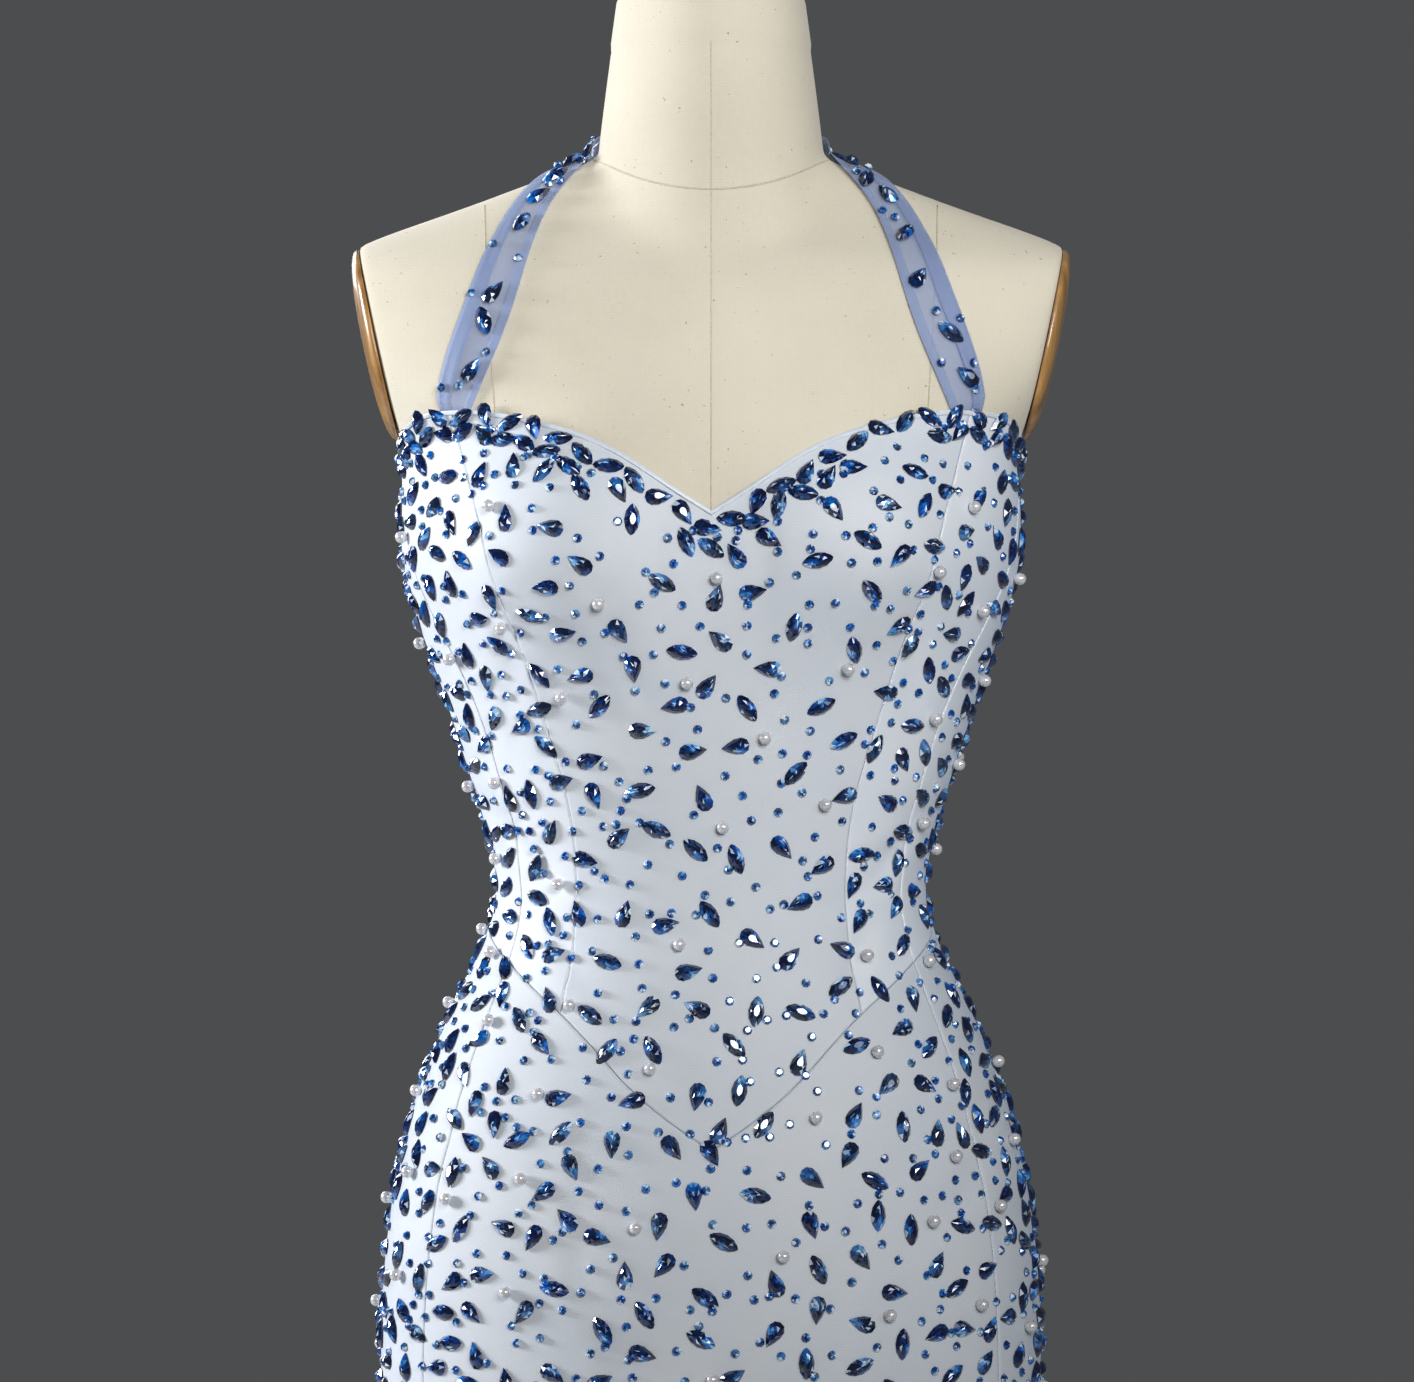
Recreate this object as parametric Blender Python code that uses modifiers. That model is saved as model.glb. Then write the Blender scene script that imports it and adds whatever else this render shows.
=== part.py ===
"""Evening dress on a limbless dress form.

A halter gown with a sweetheart neckline, princess seams, a pointed waist seam and a close skirt
that flares below the knee, on a linen dress form with wooden arm plates, a pole and a round base.
Metres, +Z up. The origin is on the floor under the middle of the stand. The front faces -Y.
An angle runs round the upright axis: 0 is the middle of the front, 90 degrees is +X.
"""

import math

import bmesh
import bpy
import numpy as np
from mathutils import Matrix, Vector
from mathutils.geometry import delaunay_2d_cdt

# Driving sizes of the cloth
CLOTH = 0.0015
BODICE_EASE = 0.0012
SKIRT_EASE = 0.0016
SEAM_GAP = 0.0003
HEM_HEIGHT = 0.0125
STRAP_CLOTH = 0.0010
BINDING_WIDTH = 0.0045
BINDING_ABOVE = 0.0010
BINDING_CLOTH = 0.0010
BINDING_GAP = 0.0006

# The figure's level sections, from the hem to the shoulder. The rows under the form's foot give
# the inside of the skirt. Past the armholes the rows run on, and the arm planes cut them off.
FIGURE = np.array(
    (
        # height, half width, front depth, back depth, squareness
        (0.0000, 0.2660, 0.2660, 0.2660, 2.00),
        (0.1000, 0.2290, 0.2260, 0.2320, 2.00),
        (0.2000, 0.1950, 0.1860, 0.1930, 2.02),
        (0.3000, 0.1690, 0.1540, 0.1610, 2.05),
        (0.4000, 0.1510, 0.1310, 0.1370, 2.10),
        (0.5000, 0.1440, 0.1180, 0.1250, 2.15),
        (0.6000, 0.1460, 0.1125, 0.1200, 2.20),
        (0.7000, 0.1525, 0.1115, 0.1210, 2.22),
        (0.8000, 0.1590, 0.1120, 0.1235, 2.25),
        (0.8600, 0.1615, 0.1120, 0.1245, 2.25),
        (0.9200, 0.1593, 0.1095, 0.1220, 2.25),
        (0.9800, 0.1487, 0.1030, 0.1120, 2.25),
        (1.0400, 0.1265, 0.0930, 0.0950, 2.25),
        (1.0950, 0.1050, 0.0845, 0.0800, 2.25),
        (1.1500, 0.1150, 0.0870, 0.0810, 2.25),
        (1.2100, 0.1345, 0.0960, 0.0860, 2.25),
        (1.2700, 0.1515, 0.1060, 0.0920, 2.25),
        (1.3050, 0.1515, 0.1040, 0.0940, 2.25),
        (1.3250, 0.1555, 0.0985, 0.0945, 2.25),
        (1.3450, 0.1700, 0.0920, 0.0945, 2.25),
        (1.3750, 0.1885, 0.0815, 0.0930, 2.25),
        (1.4000, 0.1940, 0.0710, 0.0860, 2.22),
        (1.4150, 0.1880, 0.0590, 0.0740, 2.20),
        (1.4250, 0.1700, 0.0480, 0.0640, 2.15),
        (1.4350, 0.1430, 0.0380, 0.0540, 2.10),
        (1.4450, 0.1150, 0.0300, 0.0450, 2.05),
        (1.4550, 0.0880, 0.0230, 0.0350, 2.00),
        (1.4650, 0.0570, 0.0150, 0.0240, 2.00),
        (1.4750, 0.0200, 0.0060, 0.0110, 2.00),
    )
)
CUP_ANGLE = math.radians(37)
CUP_SPREAD = math.radians(21)
CUP_HEIGHT = 1.268
CUP_ABOVE = 0.060
CUP_BELOW = 0.043
CUP_RISE = 0.019

# The neck's level sections
NECK = np.array(
    (
        # height, half width, half depth, y of the middle
        (1.3600, 0.0300, 0.0300, 0.0040),
        (1.4000, 0.0540, 0.0560, 0.0065),
        (1.4200, 0.0640, 0.0660, 0.0085),
        (1.4440, 0.0610, 0.0635, 0.0095),
        (1.4700, 0.0570, 0.0595, 0.0075),
        (1.5000, 0.0532, 0.0560, 0.0030),
        (1.5505, 0.0462, 0.0510, -0.0040),
    )
)
NECK_TOP = 1.5505
NECK_ROUNDING = 0.0080
NECK_BLEND = 9.0
NO_NECK = 0.001

# Soft flutes of the skirt below the knee
FLUTES = 10
FLUTE_START = 0.46
FLUTE_GROWTH = 1.6
FLUTE_SHARE = 0.050
FLUTE_UNEVEN = 0.35

# Seams and edges. Distances from the centre line are as seen from the front.
PRINCESS = np.array(
    (
        # height, distance from the centre line
        (1.0400, 0.0730),
        (1.0710, 0.0670),
        (1.1050, 0.0646),
        (1.1420, 0.0680),
        (1.1860, 0.0803),
        (1.2350, 0.0970),
        (1.2840, 0.1116),
        (1.3230, 0.1220),
        (1.3450, 0.1268),
    )
)
WAIST_FRONT = np.array(
    (
        # distance from the centre line, height
        (0.0000, 0.9770),
        (0.0270, 0.9960),
        (0.0435, 1.0110),
        (0.0570, 1.0260),
        (0.0726, 1.0420),
        (0.0865, 1.0545),
        (0.1000, 1.0680),
    )
)
NECKLINE_FRONT = np.array(
    (
        # distance from the centre line, height
        (0.0000, 1.2858),
        (0.0204, 1.2982),
        (0.0388, 1.3101),
        (0.0563, 1.3196),
        (0.0747, 1.3264),
        (0.0946, 1.3319),
        (0.1188, 1.3361),
        (0.1360, 1.3360),
    )
)
WAIST_BACK = np.array(
    (
        # angle in degrees, height
        (90.0, 1.0825),
        (120.0, 1.0900),
        (150.0, 1.0940),
        (180.0, 1.0950),
    )
)
TOP_BACK = np.array(
    (
        # angle in degrees, height
        (90.0, 1.3100),
        (115.0, 1.2900),
        (145.0, 1.2720),
        (180.0, 1.2650),
    )
)
SIDE_SEAM = np.array(
    (
        # height, angle in degrees
        (0.0000, 66.0),
        (0.6000, 65.5),
        (0.9000, 65.0),
        (1.0000, 64.0),
        (1.0700, 62.5),
        (1.1200, 63.5),
        (1.1900, 66.0),
        (1.2500, 74.0),
        (1.3200, 88.0),
    )
)

# The halter strap's middle line, from its foot to the nape, seated on the form by the code.
# It is taut, so it lifts off the form in the hollow between the shoulder and the neck.
STRAP = np.array(
    (
        # x, y, height, width, lift off the form
        (0.1250, -0.0680, 1.3400, 0.0168, 0.0012),
        (0.1180, -0.0700, 1.3635, 0.0208, 0.0008),
        (0.1050, -0.0625, 1.4000, 0.0206, 0.0010),
        (0.0927, -0.0330, 1.4344, 0.0178, 0.0014),
        (0.0790, -0.0135, 1.4530, 0.0158, 0.0018),
        (0.0665, 0.0000, 1.4640, 0.0150, 0.0020),
        (0.0545, 0.0260, 1.4715, 0.0150, 0.0018),
        (0.0350, 0.0545, 1.4750, 0.0150, 0.0016),
        (0.0000, 0.0680, 1.4765, 0.0150, 0.0016),
    )
)

# Stones of the neckline border, raised in the front and side-front panels
STONE_LENGTH = 0.0130
STONE_WIDTH = 0.0078
STONE_RISE = 0.0034
STONE_PITCH = 0.0140
STONE_TURN = math.radians(33)
BORDER_DEPTH = 0.0100
STONE_CLEAR = 0.0012
STONE_OUTLINE = (
    # share of the length, share of the width
    (0.50, 0.00),
    (0.12, 0.50),
    (-0.32, 0.42),
    (-0.50, 0.00),
    (-0.32, -0.42),
    (0.12, -0.50),
)

# The form and its stand
FORM_FOOT = 0.800
FORM_INSET = 0.0007
BARE_NECK = 1.5305
FORM_SIDES = 40
FORM_ROWS = np.concatenate(
    [
        np.linspace(FORM_FOOT, 1.010, 6),
        np.linspace(1.036, 1.166, 7),
        np.linspace(1.195, 1.310, 5),
        np.linspace(1.325, 1.397, 6),
        np.linspace(1.406, 1.451, 8),
        np.linspace(1.4555, 1.484, 8),
        (1.494, 1.510, 1.530, 1.5425, 1.5470, 1.5495, 1.5505),
    ]
)
# x and height of the flat armhole's upper and lower end
ARM_PLANE_TOP = (0.1722, 1.4050)
ARM_PLANE_FOOT = (0.1550, 1.3235)
ARM_CUT_ABOVE = 1.290
PLATE_GAP = 0.0003
PLATE_MIDDLE = 0.038
PLATE_REACH = 0.090
PLATE_SIDES = 32
PLATE_RINGS = (
    # distance from the armhole, share of its outline
    (0.0000, 0.985),
    (0.0030, 0.985),
    (0.0052, 0.930),
    (0.0062, 0.800),
)
POLE_RADIUS = 0.0140
POLE_SIDES = 24
BASE_RADIUS = 0.180
BASE_PROFILE = (
    # radius, height
    (0.0, 0.045),
    (0.026, 0.045),
    (0.028, 0.043),
    (0.028, 0.018),
    (0.034, 0.012),
    (BASE_RADIUS - 0.004, 0.010),
    (BASE_RADIUS, 0.006),
    (BASE_RADIUS, 0.0),
    (0.0, 0.0),
)
BASE_STEPS = 40
CONTACT_GAP = 0.0003

# Mesh steps. Angles count as lengths at PLANE_RADIUS where a panel is triangulated.
PLANE_RADIUS = 0.150
BODICE_STEP = 0.018
BODICE_ROWS = np.arange(0.980, 1.340, BODICE_STEP)
SKIRT_ANGLE_STEP = math.radians(7.5)
SKIRT_ROWS = np.concatenate([np.arange(0.075, 0.74, 0.066), np.arange(0.780, 1.09, 0.028)])
EDGE_STEP = 0.015
SEAM_ROWS = np.concatenate([np.arange(0.070, 0.82, 0.060), np.arange(0.860, 1.35, 0.020)])
SEAM_ROW_CLEAR = 0.006
SAME_POINT = 0.002
FILL_CLEAR = 0.45
STONE_FILL_CLEAR = 0.6
EDGE_TABLE_ROWS = 15
BORDER_SAMPLES = 600
BORDER_TURN = 0.02
BINDING_STEPS = 46
STRAP_RINGS = 34
NORMAL_TURN = 2e-3
NORMAL_RISE = 5e-4

# The two halves of the back stop half a seam gap short of the centre back.
BACK_REACH = 0.090
CENTRE_BACK = math.pi - SEAM_GAP / 2 / BACK_REACH

# Base colour, roughness and metallic value of each material
COLOURS = {
    "satin_with_net": ((0.70, 0.78, 0.93), 0.45, 0.0),
    "halter_net": ((0.36, 0.46, 0.78), 0.50, 0.0),
    "binding_satin": ((0.74, 0.81, 0.95), 0.40, 0.0),
    "linen": ((0.80, 0.76, 0.65), 0.85, 0.0),
    "arm_plate_wood": ((0.52, 0.30, 0.11), 0.35, 0.0),
    "steel": ((0.62, 0.62, 0.64), 0.28, 1.0),
    "base_lacquer": ((0.80, 0.79, 0.76), 0.40, 0.0),
}


def spline(table, column, at):
    """Reads a column of a table at any place along its first column, on a natural cubic curve."""
    x, y = table[:, 0], table[:, column]
    step = np.diff(x)
    count = len(x)
    matrix = np.eye(count)
    right = np.zeros(count)
    for i in range(1, count - 1):
        matrix[i, i - 1 : i + 2] = step[i - 1], 2 * (step[i - 1] + step[i]), step[i]
        right[i] = 6 * ((y[i + 1] - y[i]) / step[i] - (y[i] - y[i - 1]) / step[i - 1])
    bend = np.linalg.solve(matrix, right)
    at = np.clip(np.asarray(at, float), x[0], x[-1])
    i = np.clip(np.searchsorted(x, at) - 1, 0, count - 2)
    before, after = x[i + 1] - at, at - x[i]
    return (
        (bend[i] * before**3 + bend[i + 1] * after**3) / (6 * step[i])
        + (y[i] / step[i] - bend[i] * step[i] / 6) * before
        + (y[i + 1] / step[i] - bend[i + 1] * step[i] / 6) * after
    )


def torso_reach(angle, height):
    """How far the trunk reaches from the axis: a squared-off ellipse with two cups and flutes."""
    half_width, front, back, squareness = (spline(FIGURE, i, height) for i in range(1, 5))
    side, ahead = np.sin(angle), np.cos(angle)
    depth = np.where(ahead > 0, front, back)
    reach = (np.abs(side / half_width) ** squareness + np.abs(ahead / depth) ** squareness) ** (
        -1 / squareness
    )
    fall = np.where(height > CUP_HEIGHT, CUP_ABOVE, CUP_BELOW)
    for cup in (-CUP_ANGLE, CUP_ANGLE):
        reach = reach + CUP_RISE * np.exp(
            -(((angle - cup) / CUP_SPREAD) ** 2) - ((height - CUP_HEIGHT) / fall) ** 2
        )
    swell = np.clip(1 - height / FLUTE_START, 0, 1) ** FLUTE_GROWTH
    wave = np.cos(FLUTES * angle) * (1 + FLUTE_UNEVEN * np.cos(2 * angle))
    return reach * (1 + FLUTE_SHARE * swell * wave)


def neck_reach(angle, height):
    """How far the neck reaches from the axis: an ellipse whose middle lies off the axis."""
    half_width, half_depth, middle = (spline(NECK, i, height) for i in range(1, 4))
    side, ahead = np.sin(angle), np.cos(angle)
    a = (side / half_width) ** 2 + (ahead / half_depth) ** 2
    b = 2 * ahead * middle / half_depth**2
    c = (middle / half_depth) ** 2 - 1
    reach = (-b + np.sqrt(b * b - 4 * a * c)) / (2 * a)
    over = np.clip(height - (NECK_TOP - NECK_ROUNDING), 0, NECK_ROUNDING)
    return reach - NECK_ROUNDING + np.sqrt(NECK_ROUNDING**2 - over**2)


def figure_reach(angle, height):
    """The reach of the trunk and the neck together: the root of the sum of their powers, so the
    larger one counts and they blend where they are alike."""
    trunk = torso_reach(angle, height)
    neck = np.where(height > NECK[0, 0], neck_reach(angle, height), NO_NECK)
    return (trunk**NECK_BLEND + neck**NECK_BLEND) ** (1 / NECK_BLEND)


def on_figure(angle, height):
    """Points of the figure's surface, one row each."""
    reach = figure_reach(angle, height)
    return np.stack([reach * np.sin(angle), -reach * np.cos(angle), height + 0 * reach], axis=-1)


def moved_out(angle, height, out):
    """Points of the surface, moved out square to it."""
    angle, height = np.asarray(angle, float), np.asarray(height, float)
    across = on_figure(angle + NORMAL_TURN, height) - on_figure(angle - NORMAL_TURN, height)
    up = on_figure(angle, height + NORMAL_RISE) - on_figure(angle, height - NORMAL_RISE)
    normal = np.cross(across, up)
    normal /= np.linalg.norm(normal, axis=-1, keepdims=True)
    return on_figure(angle, height) + normal * np.asarray(out)[..., None]


def seated(points, gap):
    """Points brought to a gap from the figure, each along the slope of its distance, and the
    directions square to the figure there."""

    def level(p):
        angle = np.arctan2(p[:, 0], -p[:, 1])
        return np.hypot(p[:, 0], p[:, 1]) - figure_reach(angle, p[:, 2])

    points = np.array(points, float)
    small = 5e-4
    for _ in range(12):
        slope = np.stack(
            [(level(points + small * e) - level(points - small * e)) / (2 * small) for e in np.eye(3)],
            axis=1,
        )
        steep = np.linalg.norm(slope, axis=1)
        points -= ((level(points) / steep - gap) / steep)[:, None] * slope
    return points, slope / steep[:, None]


def angle_of(from_centre, height):
    """The angle at which the section at a height stands that far from the centre line."""
    low, high = np.zeros_like(from_centre), np.full_like(from_centre, math.radians(88))
    for _ in range(40):
        middle = (low + high) / 2
        short = figure_reach(middle, height) * np.sin(middle) < from_centre
        low, high = np.where(short, middle, low), np.where(short, high, middle)
    return (low + high) / 2


def edge_table(front, back):
    """Rows of angle and height for an edge that is given from the front and then by angle."""
    fine = np.linspace(0, front[-1, 0], EDGE_TABLE_ROWS)
    heights = spline(front, 1, fine)
    ahead = np.stack([angle_of(fine, heights), heights], axis=1)
    behind = np.stack([np.radians(back[:, 0]), back[:, 1]], axis=1)
    return np.concatenate([ahead, behind])


NECK_EDGE = edge_table(NECKLINE_FRONT, TOP_BACK)
WAIST_EDGE = edge_table(WAIST_FRONT, WAIST_BACK)
PRINCESS_SEAM = np.stack([PRINCESS[:, 0], angle_of(PRINCESS[:, 1], PRINCESS[:, 0])], axis=1)
SIDE_SEAM_LINE = np.stack([SIDE_SEAM[:, 0], np.radians(SIDE_SEAM[:, 1])], axis=1)


def top_height(angle):
    """The height of the gown's top edge."""
    return spline(NECK_EDGE, 1, np.abs(angle))


def waist_height(angle):
    """The height of the seam between the bodice and the skirt."""
    return spline(WAIST_EDGE, 1, np.abs(angle))


def hem_height(angle):
    """The height of the hem, level all round."""
    return np.full_like(angle, HEM_HEIGHT)


def meeting(seam, edge_height):
    """The height at which a seam meets an edge, closed in on by halves."""
    height = seam[len(seam) // 2, 0]
    for _ in range(60):
        height += 0.5 * (float(edge_height(spline(seam, 1, height))) - height)
    return height


PRINCESS_TOP = meeting(PRINCESS_SEAM[3:], top_height)
PRINCESS_FOOT = meeting(PRINCESS_SEAM, waist_height)
SIDE_TOP = meeting(SIDE_SEAM_LINE[4:], top_height)
SIDE_WAIST = meeting(SIDE_SEAM_LINE, waist_height)


def seam_rows(start, end):
    """The heights at which a seam has points: its two ends and the rows between them."""
    low, high = min(start, end), max(start, end)
    between = SEAM_ROWS[(SEAM_ROWS > low + SEAM_ROW_CLEAR) & (SEAM_ROWS < high - SEAM_ROW_CLEAR)]
    rows = np.concatenate([[low], between, [high]])
    return rows if start < end else rows[::-1]


def along_edge(edge_height, start, end, inset):
    """Points of an edge from one angle to another, moved in height by the inset."""
    count = max(2, int(math.ceil(abs(end - start) * PLANE_RADIUS / EDGE_STEP)) + 1)
    angles = np.linspace(start, end, count)
    return np.stack([angles, edge_height(angles) + inset], axis=1)


def along_seam(seam, start, end, side, inset):
    """Points of a seam from one height to another, on one side of the figure, moved round it by
    the inset."""
    heights = seam_rows(start, end)
    angles = side * spline(seam, 1, heights)
    return np.stack([angles + inset / figure_reach(angles, heights), heights], axis=1)


def along_back(start, end, side):
    """Points of a back panel's edge at the centre back, from one height to another."""
    heights = seam_rows(start, end)
    return np.stack([np.full_like(heights, side * CENTRE_BACK), heights], axis=1)


def joined(*runs):
    """Runs of points as one closed outline, without the points that two runs share."""
    points = np.concatenate(runs)
    near = np.linalg.norm((points - np.roll(points, 1, axis=0)) * (PLANE_RADIUS, 1), axis=1)
    return points[near > SAME_POINT]


def inside(outline, points):
    """Whether each point lies in the outline, by counting the sides that a level ray crosses."""
    found = np.zeros(len(points), bool)
    for a, b in zip(outline, np.roll(outline, -1, axis=0)):
        crosses = (a[1] > points[:, 1]) != (b[1] > points[:, 1])
        at = a[0] + (points[:, 1] - a[1]) * (b[0] - a[0]) / (b[1] - a[1] + 1e-12)
        found ^= crosses & (points[:, 0] < at)
    return found


def from_outline(outline, points):
    """How far each point lies from the outline's sides."""
    nearest = np.full(len(points), np.inf)
    for a, b in zip(outline, np.roll(outline, -1, axis=0)):
        run = b - a
        share = np.clip(((points - a) @ run) / max(run @ run, 1e-12), 0, 1)
        away = np.linalg.norm(points - a - share[:, None] * run, axis=1)
        nearest = np.minimum(nearest, away)
    return nearest


def plane(points):
    """Angle and height as lengths, for triangulating."""
    return np.asarray(points) * (PLANE_RADIUS, 1.0)


def filling(outline, angle_step, rows):
    """Points on a grid inside an outline, clear of its sides."""
    low, high = outline[:, 0].min(), outline[:, 0].max()
    columns = np.arange(math.floor(low / angle_step), math.ceil(high / angle_step) + 1)
    grid = np.stack(np.meshgrid(columns * angle_step, rows), axis=-1).reshape(-1, 2)
    grid = grid[inside(outline, grid)]
    return grid[from_outline(plane(outline), plane(grid)) > FILL_CLEAR * angle_step * PLANE_RADIUS]


def triangulated(outline, loose, stones):
    """(points, triangles, heights above the cloth) of the outline filled with loose points and
    stones. A stone is a closed ring of points round one raised point."""
    points, rise = [outline], [np.zeros(len(outline))]
    edges = [(i, (i + 1) % len(outline)) for i in range(len(outline))]
    count = len(outline)
    for ring, peak in stones:
        edges += [(count + i, count + (i + 1) % len(ring)) for i in range(len(ring))]
        points += [ring, peak[None]]
        rise += [np.zeros(len(ring)), [STONE_RISE]]
        count += len(ring) + 1
    if stones:
        rings = np.concatenate([ring for ring, _ in stones])
        apart = plane(loose)[:, None] - plane(rings)[None]
        loose = loose[np.linalg.norm(apart, axis=2).min(axis=1) > STONE_FILL_CLEAR * STONE_WIDTH]
    points.append(loose)
    rise.append(np.zeros(len(loose)))
    points, rise = np.concatenate(points), np.concatenate(rise)
    flat = [Vector(p) for p in plane(points)]
    made, _, faces, origins, _, _ = delaunay_2d_cdt(flat, edges, [], 1, 1e-7)
    if len(made) != len(points) or any(len(o) != 1 for o in origins):
        raise ValueError("two sides of an outline or a stone cross")
    back = np.array([o[0] for o in origins])
    faces = back[np.array(faces)]
    corner = plane(points)[faces]
    first, second = corner[:, 1] - corner[:, 0], corner[:, 2] - corner[:, 0]
    turned = first[:, 0] * second[:, 1] - first[:, 1] * second[:, 0] < 0
    faces[turned] = faces[turned][:, ::-1]
    return points, faces, rise


def add_mesh(name, points, faces, material):
    """A solid from its points and faces, smooth but for its sharp edges."""
    mesh = bpy.data.meshes.new(name)
    mesh.from_pydata([tuple(p) for p in points], [], [tuple(int(i) for i in f) for f in faces])
    mesh.validate()
    mesh.shade_smooth()
    mesh.set_sharp_from_angle(angle=math.radians(35))
    return add_object(name, mesh, material)


def add_object(name, data, material):
    """An object of the part, with its material."""
    obj = bpy.data.objects.new(name, data)
    if not data.materials:
        data.materials.append(MATERIALS[material])
    PARTS.objects.link(obj)
    return obj


def cloth_panel(name, outline, ease, angle_step, rows, stones=()):
    """A wall of cloth: its inner and outer faces follow the figure, joined round the outline.
    Both faces are read off the figure, so the rims of two panels stay parallel along their seam,
    and stones rise from the outer face alone."""
    loose = filling(outline, angle_step, rows)
    outer, outer_faces, rise = triangulated(outline, loose, list(stones))
    inner, inner_faces, _ = triangulated(outline, loose, [])
    top = moved_out(outer[:, 0], outer[:, 1], ease + CLOTH + rise)
    under = moved_out(inner[:, 0], inner[:, 1], np.full(len(inner), ease))
    around = len(outline)
    # The outline runs the same way round as the faces where it turns left.
    area = plane(outline)
    ahead = np.roll(area, -1, axis=0)
    left = (area[:, 0] * ahead[:, 1] - area[:, 1] * ahead[:, 0]).sum() > 0
    rim = []
    for i in range(around):
        j = (i + 1) % around
        a, b = (i, j) if left else (j, i)
        rim.append((b, a, len(top) + a, len(top) + b))
    faces = [*outer_faces, *(inner_faces[:, ::-1] + len(top)), *rim]
    return add_mesh(name, np.concatenate([top, under]), faces, "satin_with_net")


def border_stones(outline):
    """Footprints of the stones that follow the neckline inside one panel's outline."""
    first, last = outline[:, 0].min(), outline[:, 0].max()
    angles = np.linspace(first, last, BORDER_SAMPLES)
    line = on_figure(angles, top_height(angles) - BORDER_DEPTH)
    travelled = np.concatenate([[0], np.cumsum(np.linalg.norm(np.diff(line, axis=0), axis=1))])
    found = []
    places = np.arange(STONE_PITCH / 2, travelled[-1], STONE_PITCH)
    for number, place in enumerate(places):
        angle = float(np.interp(place, travelled, angles))
        height = float(top_height(angle)) - BORDER_DEPTH
        climb = float(top_height(angle + BORDER_TURN) - top_height(angle - BORDER_TURN))
        reach = float(figure_reach(angle, height))
        heading = math.atan2(climb, 2 * BORDER_TURN * reach)
        heading += STONE_TURN if number % 2 else -STONE_TURN
        shape = np.array(STONE_OUTLINE) * (STONE_LENGTH, STONE_WIDTH)
        turn = np.array(
            ((math.cos(heading), math.sin(heading)), (-math.sin(heading), math.cos(heading)))
        )
        ring = np.array((angle, height)) + (shape @ turn) / (reach, 1)
        room = from_outline(plane(outline), plane(ring)).min()
        if inside(outline, ring).all() and room > STONE_CLEAR:
            found.append((ring, np.array((angle, height))))
    return found


def bodice():
    """The front panel, two side fronts and two backs."""
    half = SEAM_GAP / 2
    step = BODICE_STEP / PLANE_RADIUS
    top_at = float(spline(PRINCESS_SEAM, 1, PRINCESS_TOP))
    foot_at = float(spline(PRINCESS_SEAM, 1, PRINCESS_FOOT))
    middle = joined(
        along_edge(waist_height, -foot_at, 0, SEAM_GAP),
        along_edge(waist_height, 0, foot_at, SEAM_GAP),
        along_seam(PRINCESS_SEAM, PRINCESS_FOOT, PRINCESS_TOP, 1, -half),
        along_edge(top_height, top_at, 0, 0),
        along_edge(top_height, 0, -top_at, 0),
        along_seam(PRINCESS_SEAM, PRINCESS_TOP, PRINCESS_FOOT, -1, half),
    )
    cloth_panel("bodice_front", middle, BODICE_EASE, step, BODICE_ROWS, border_stones(middle))
    side_foot = float(spline(SIDE_SEAM_LINE, 1, SIDE_WAIST))
    side_top = float(spline(SIDE_SEAM_LINE, 1, SIDE_TOP))
    for side, word in ((-1, "left"), (1, "right")):
        flank = joined(
            along_edge(waist_height, side * foot_at, side * side_foot, SEAM_GAP),
            along_seam(SIDE_SEAM_LINE, SIDE_WAIST, SIDE_TOP, side, -side * half),
            along_edge(top_height, side * side_top, side * top_at, 0),
            along_seam(PRINCESS_SEAM, PRINCESS_TOP, PRINCESS_FOOT, side, side * half),
        )
        stones = border_stones(flank)
        cloth_panel("bodice_side_" + word, flank, BODICE_EASE, step, BODICE_ROWS, stones)
        waist, top = float(waist_height(CENTRE_BACK)), float(top_height(CENTRE_BACK))
        rear = joined(
            along_edge(waist_height, side * side_foot, side * CENTRE_BACK, SEAM_GAP),
            along_back(waist + SEAM_GAP, top, side),
            along_edge(top_height, side * CENTRE_BACK, side * side_top, 0),
            along_seam(SIDE_SEAM_LINE, SIDE_TOP, SIDE_WAIST, side, side * half),
        )
        cloth_panel("bodice_back_" + word, rear, BODICE_EASE, step, BODICE_ROWS)


def skirt():
    """The front gore and two back gores, from the waist seam to the hem."""
    half = SEAM_GAP / 2
    waist_at = float(spline(SIDE_SEAM_LINE, 1, SIDE_WAIST))
    hem_at = float(spline(SIDE_SEAM_LINE, 1, HEM_HEIGHT))
    front = joined(
        along_edge(hem_height, -hem_at, hem_at, 0),
        along_seam(SIDE_SEAM_LINE, HEM_HEIGHT, SIDE_WAIST, 1, -half),
        along_edge(waist_height, waist_at, 0, -SEAM_GAP),
        along_edge(waist_height, 0, -waist_at, -SEAM_GAP),
        along_seam(SIDE_SEAM_LINE, SIDE_WAIST, HEM_HEIGHT, -1, half),
    )
    cloth_panel("skirt_front", front, SKIRT_EASE, SKIRT_ANGLE_STEP, SKIRT_ROWS)
    for side, word in ((-1, "left"), (1, "right")):
        rear = joined(
            along_edge(hem_height, side * CENTRE_BACK, side * hem_at, 0),
            along_seam(SIDE_SEAM_LINE, HEM_HEIGHT, SIDE_WAIST, side, side * half),
            along_edge(waist_height, side * waist_at, side * CENTRE_BACK, -SEAM_GAP),
            along_back(float(waist_height(CENTRE_BACK)) - SEAM_GAP, HEM_HEIGHT, side),
        )
        cloth_panel("skirt_back_" + word, rear, SKIRT_EASE, SKIRT_ANGLE_STEP, SKIRT_ROWS)


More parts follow.
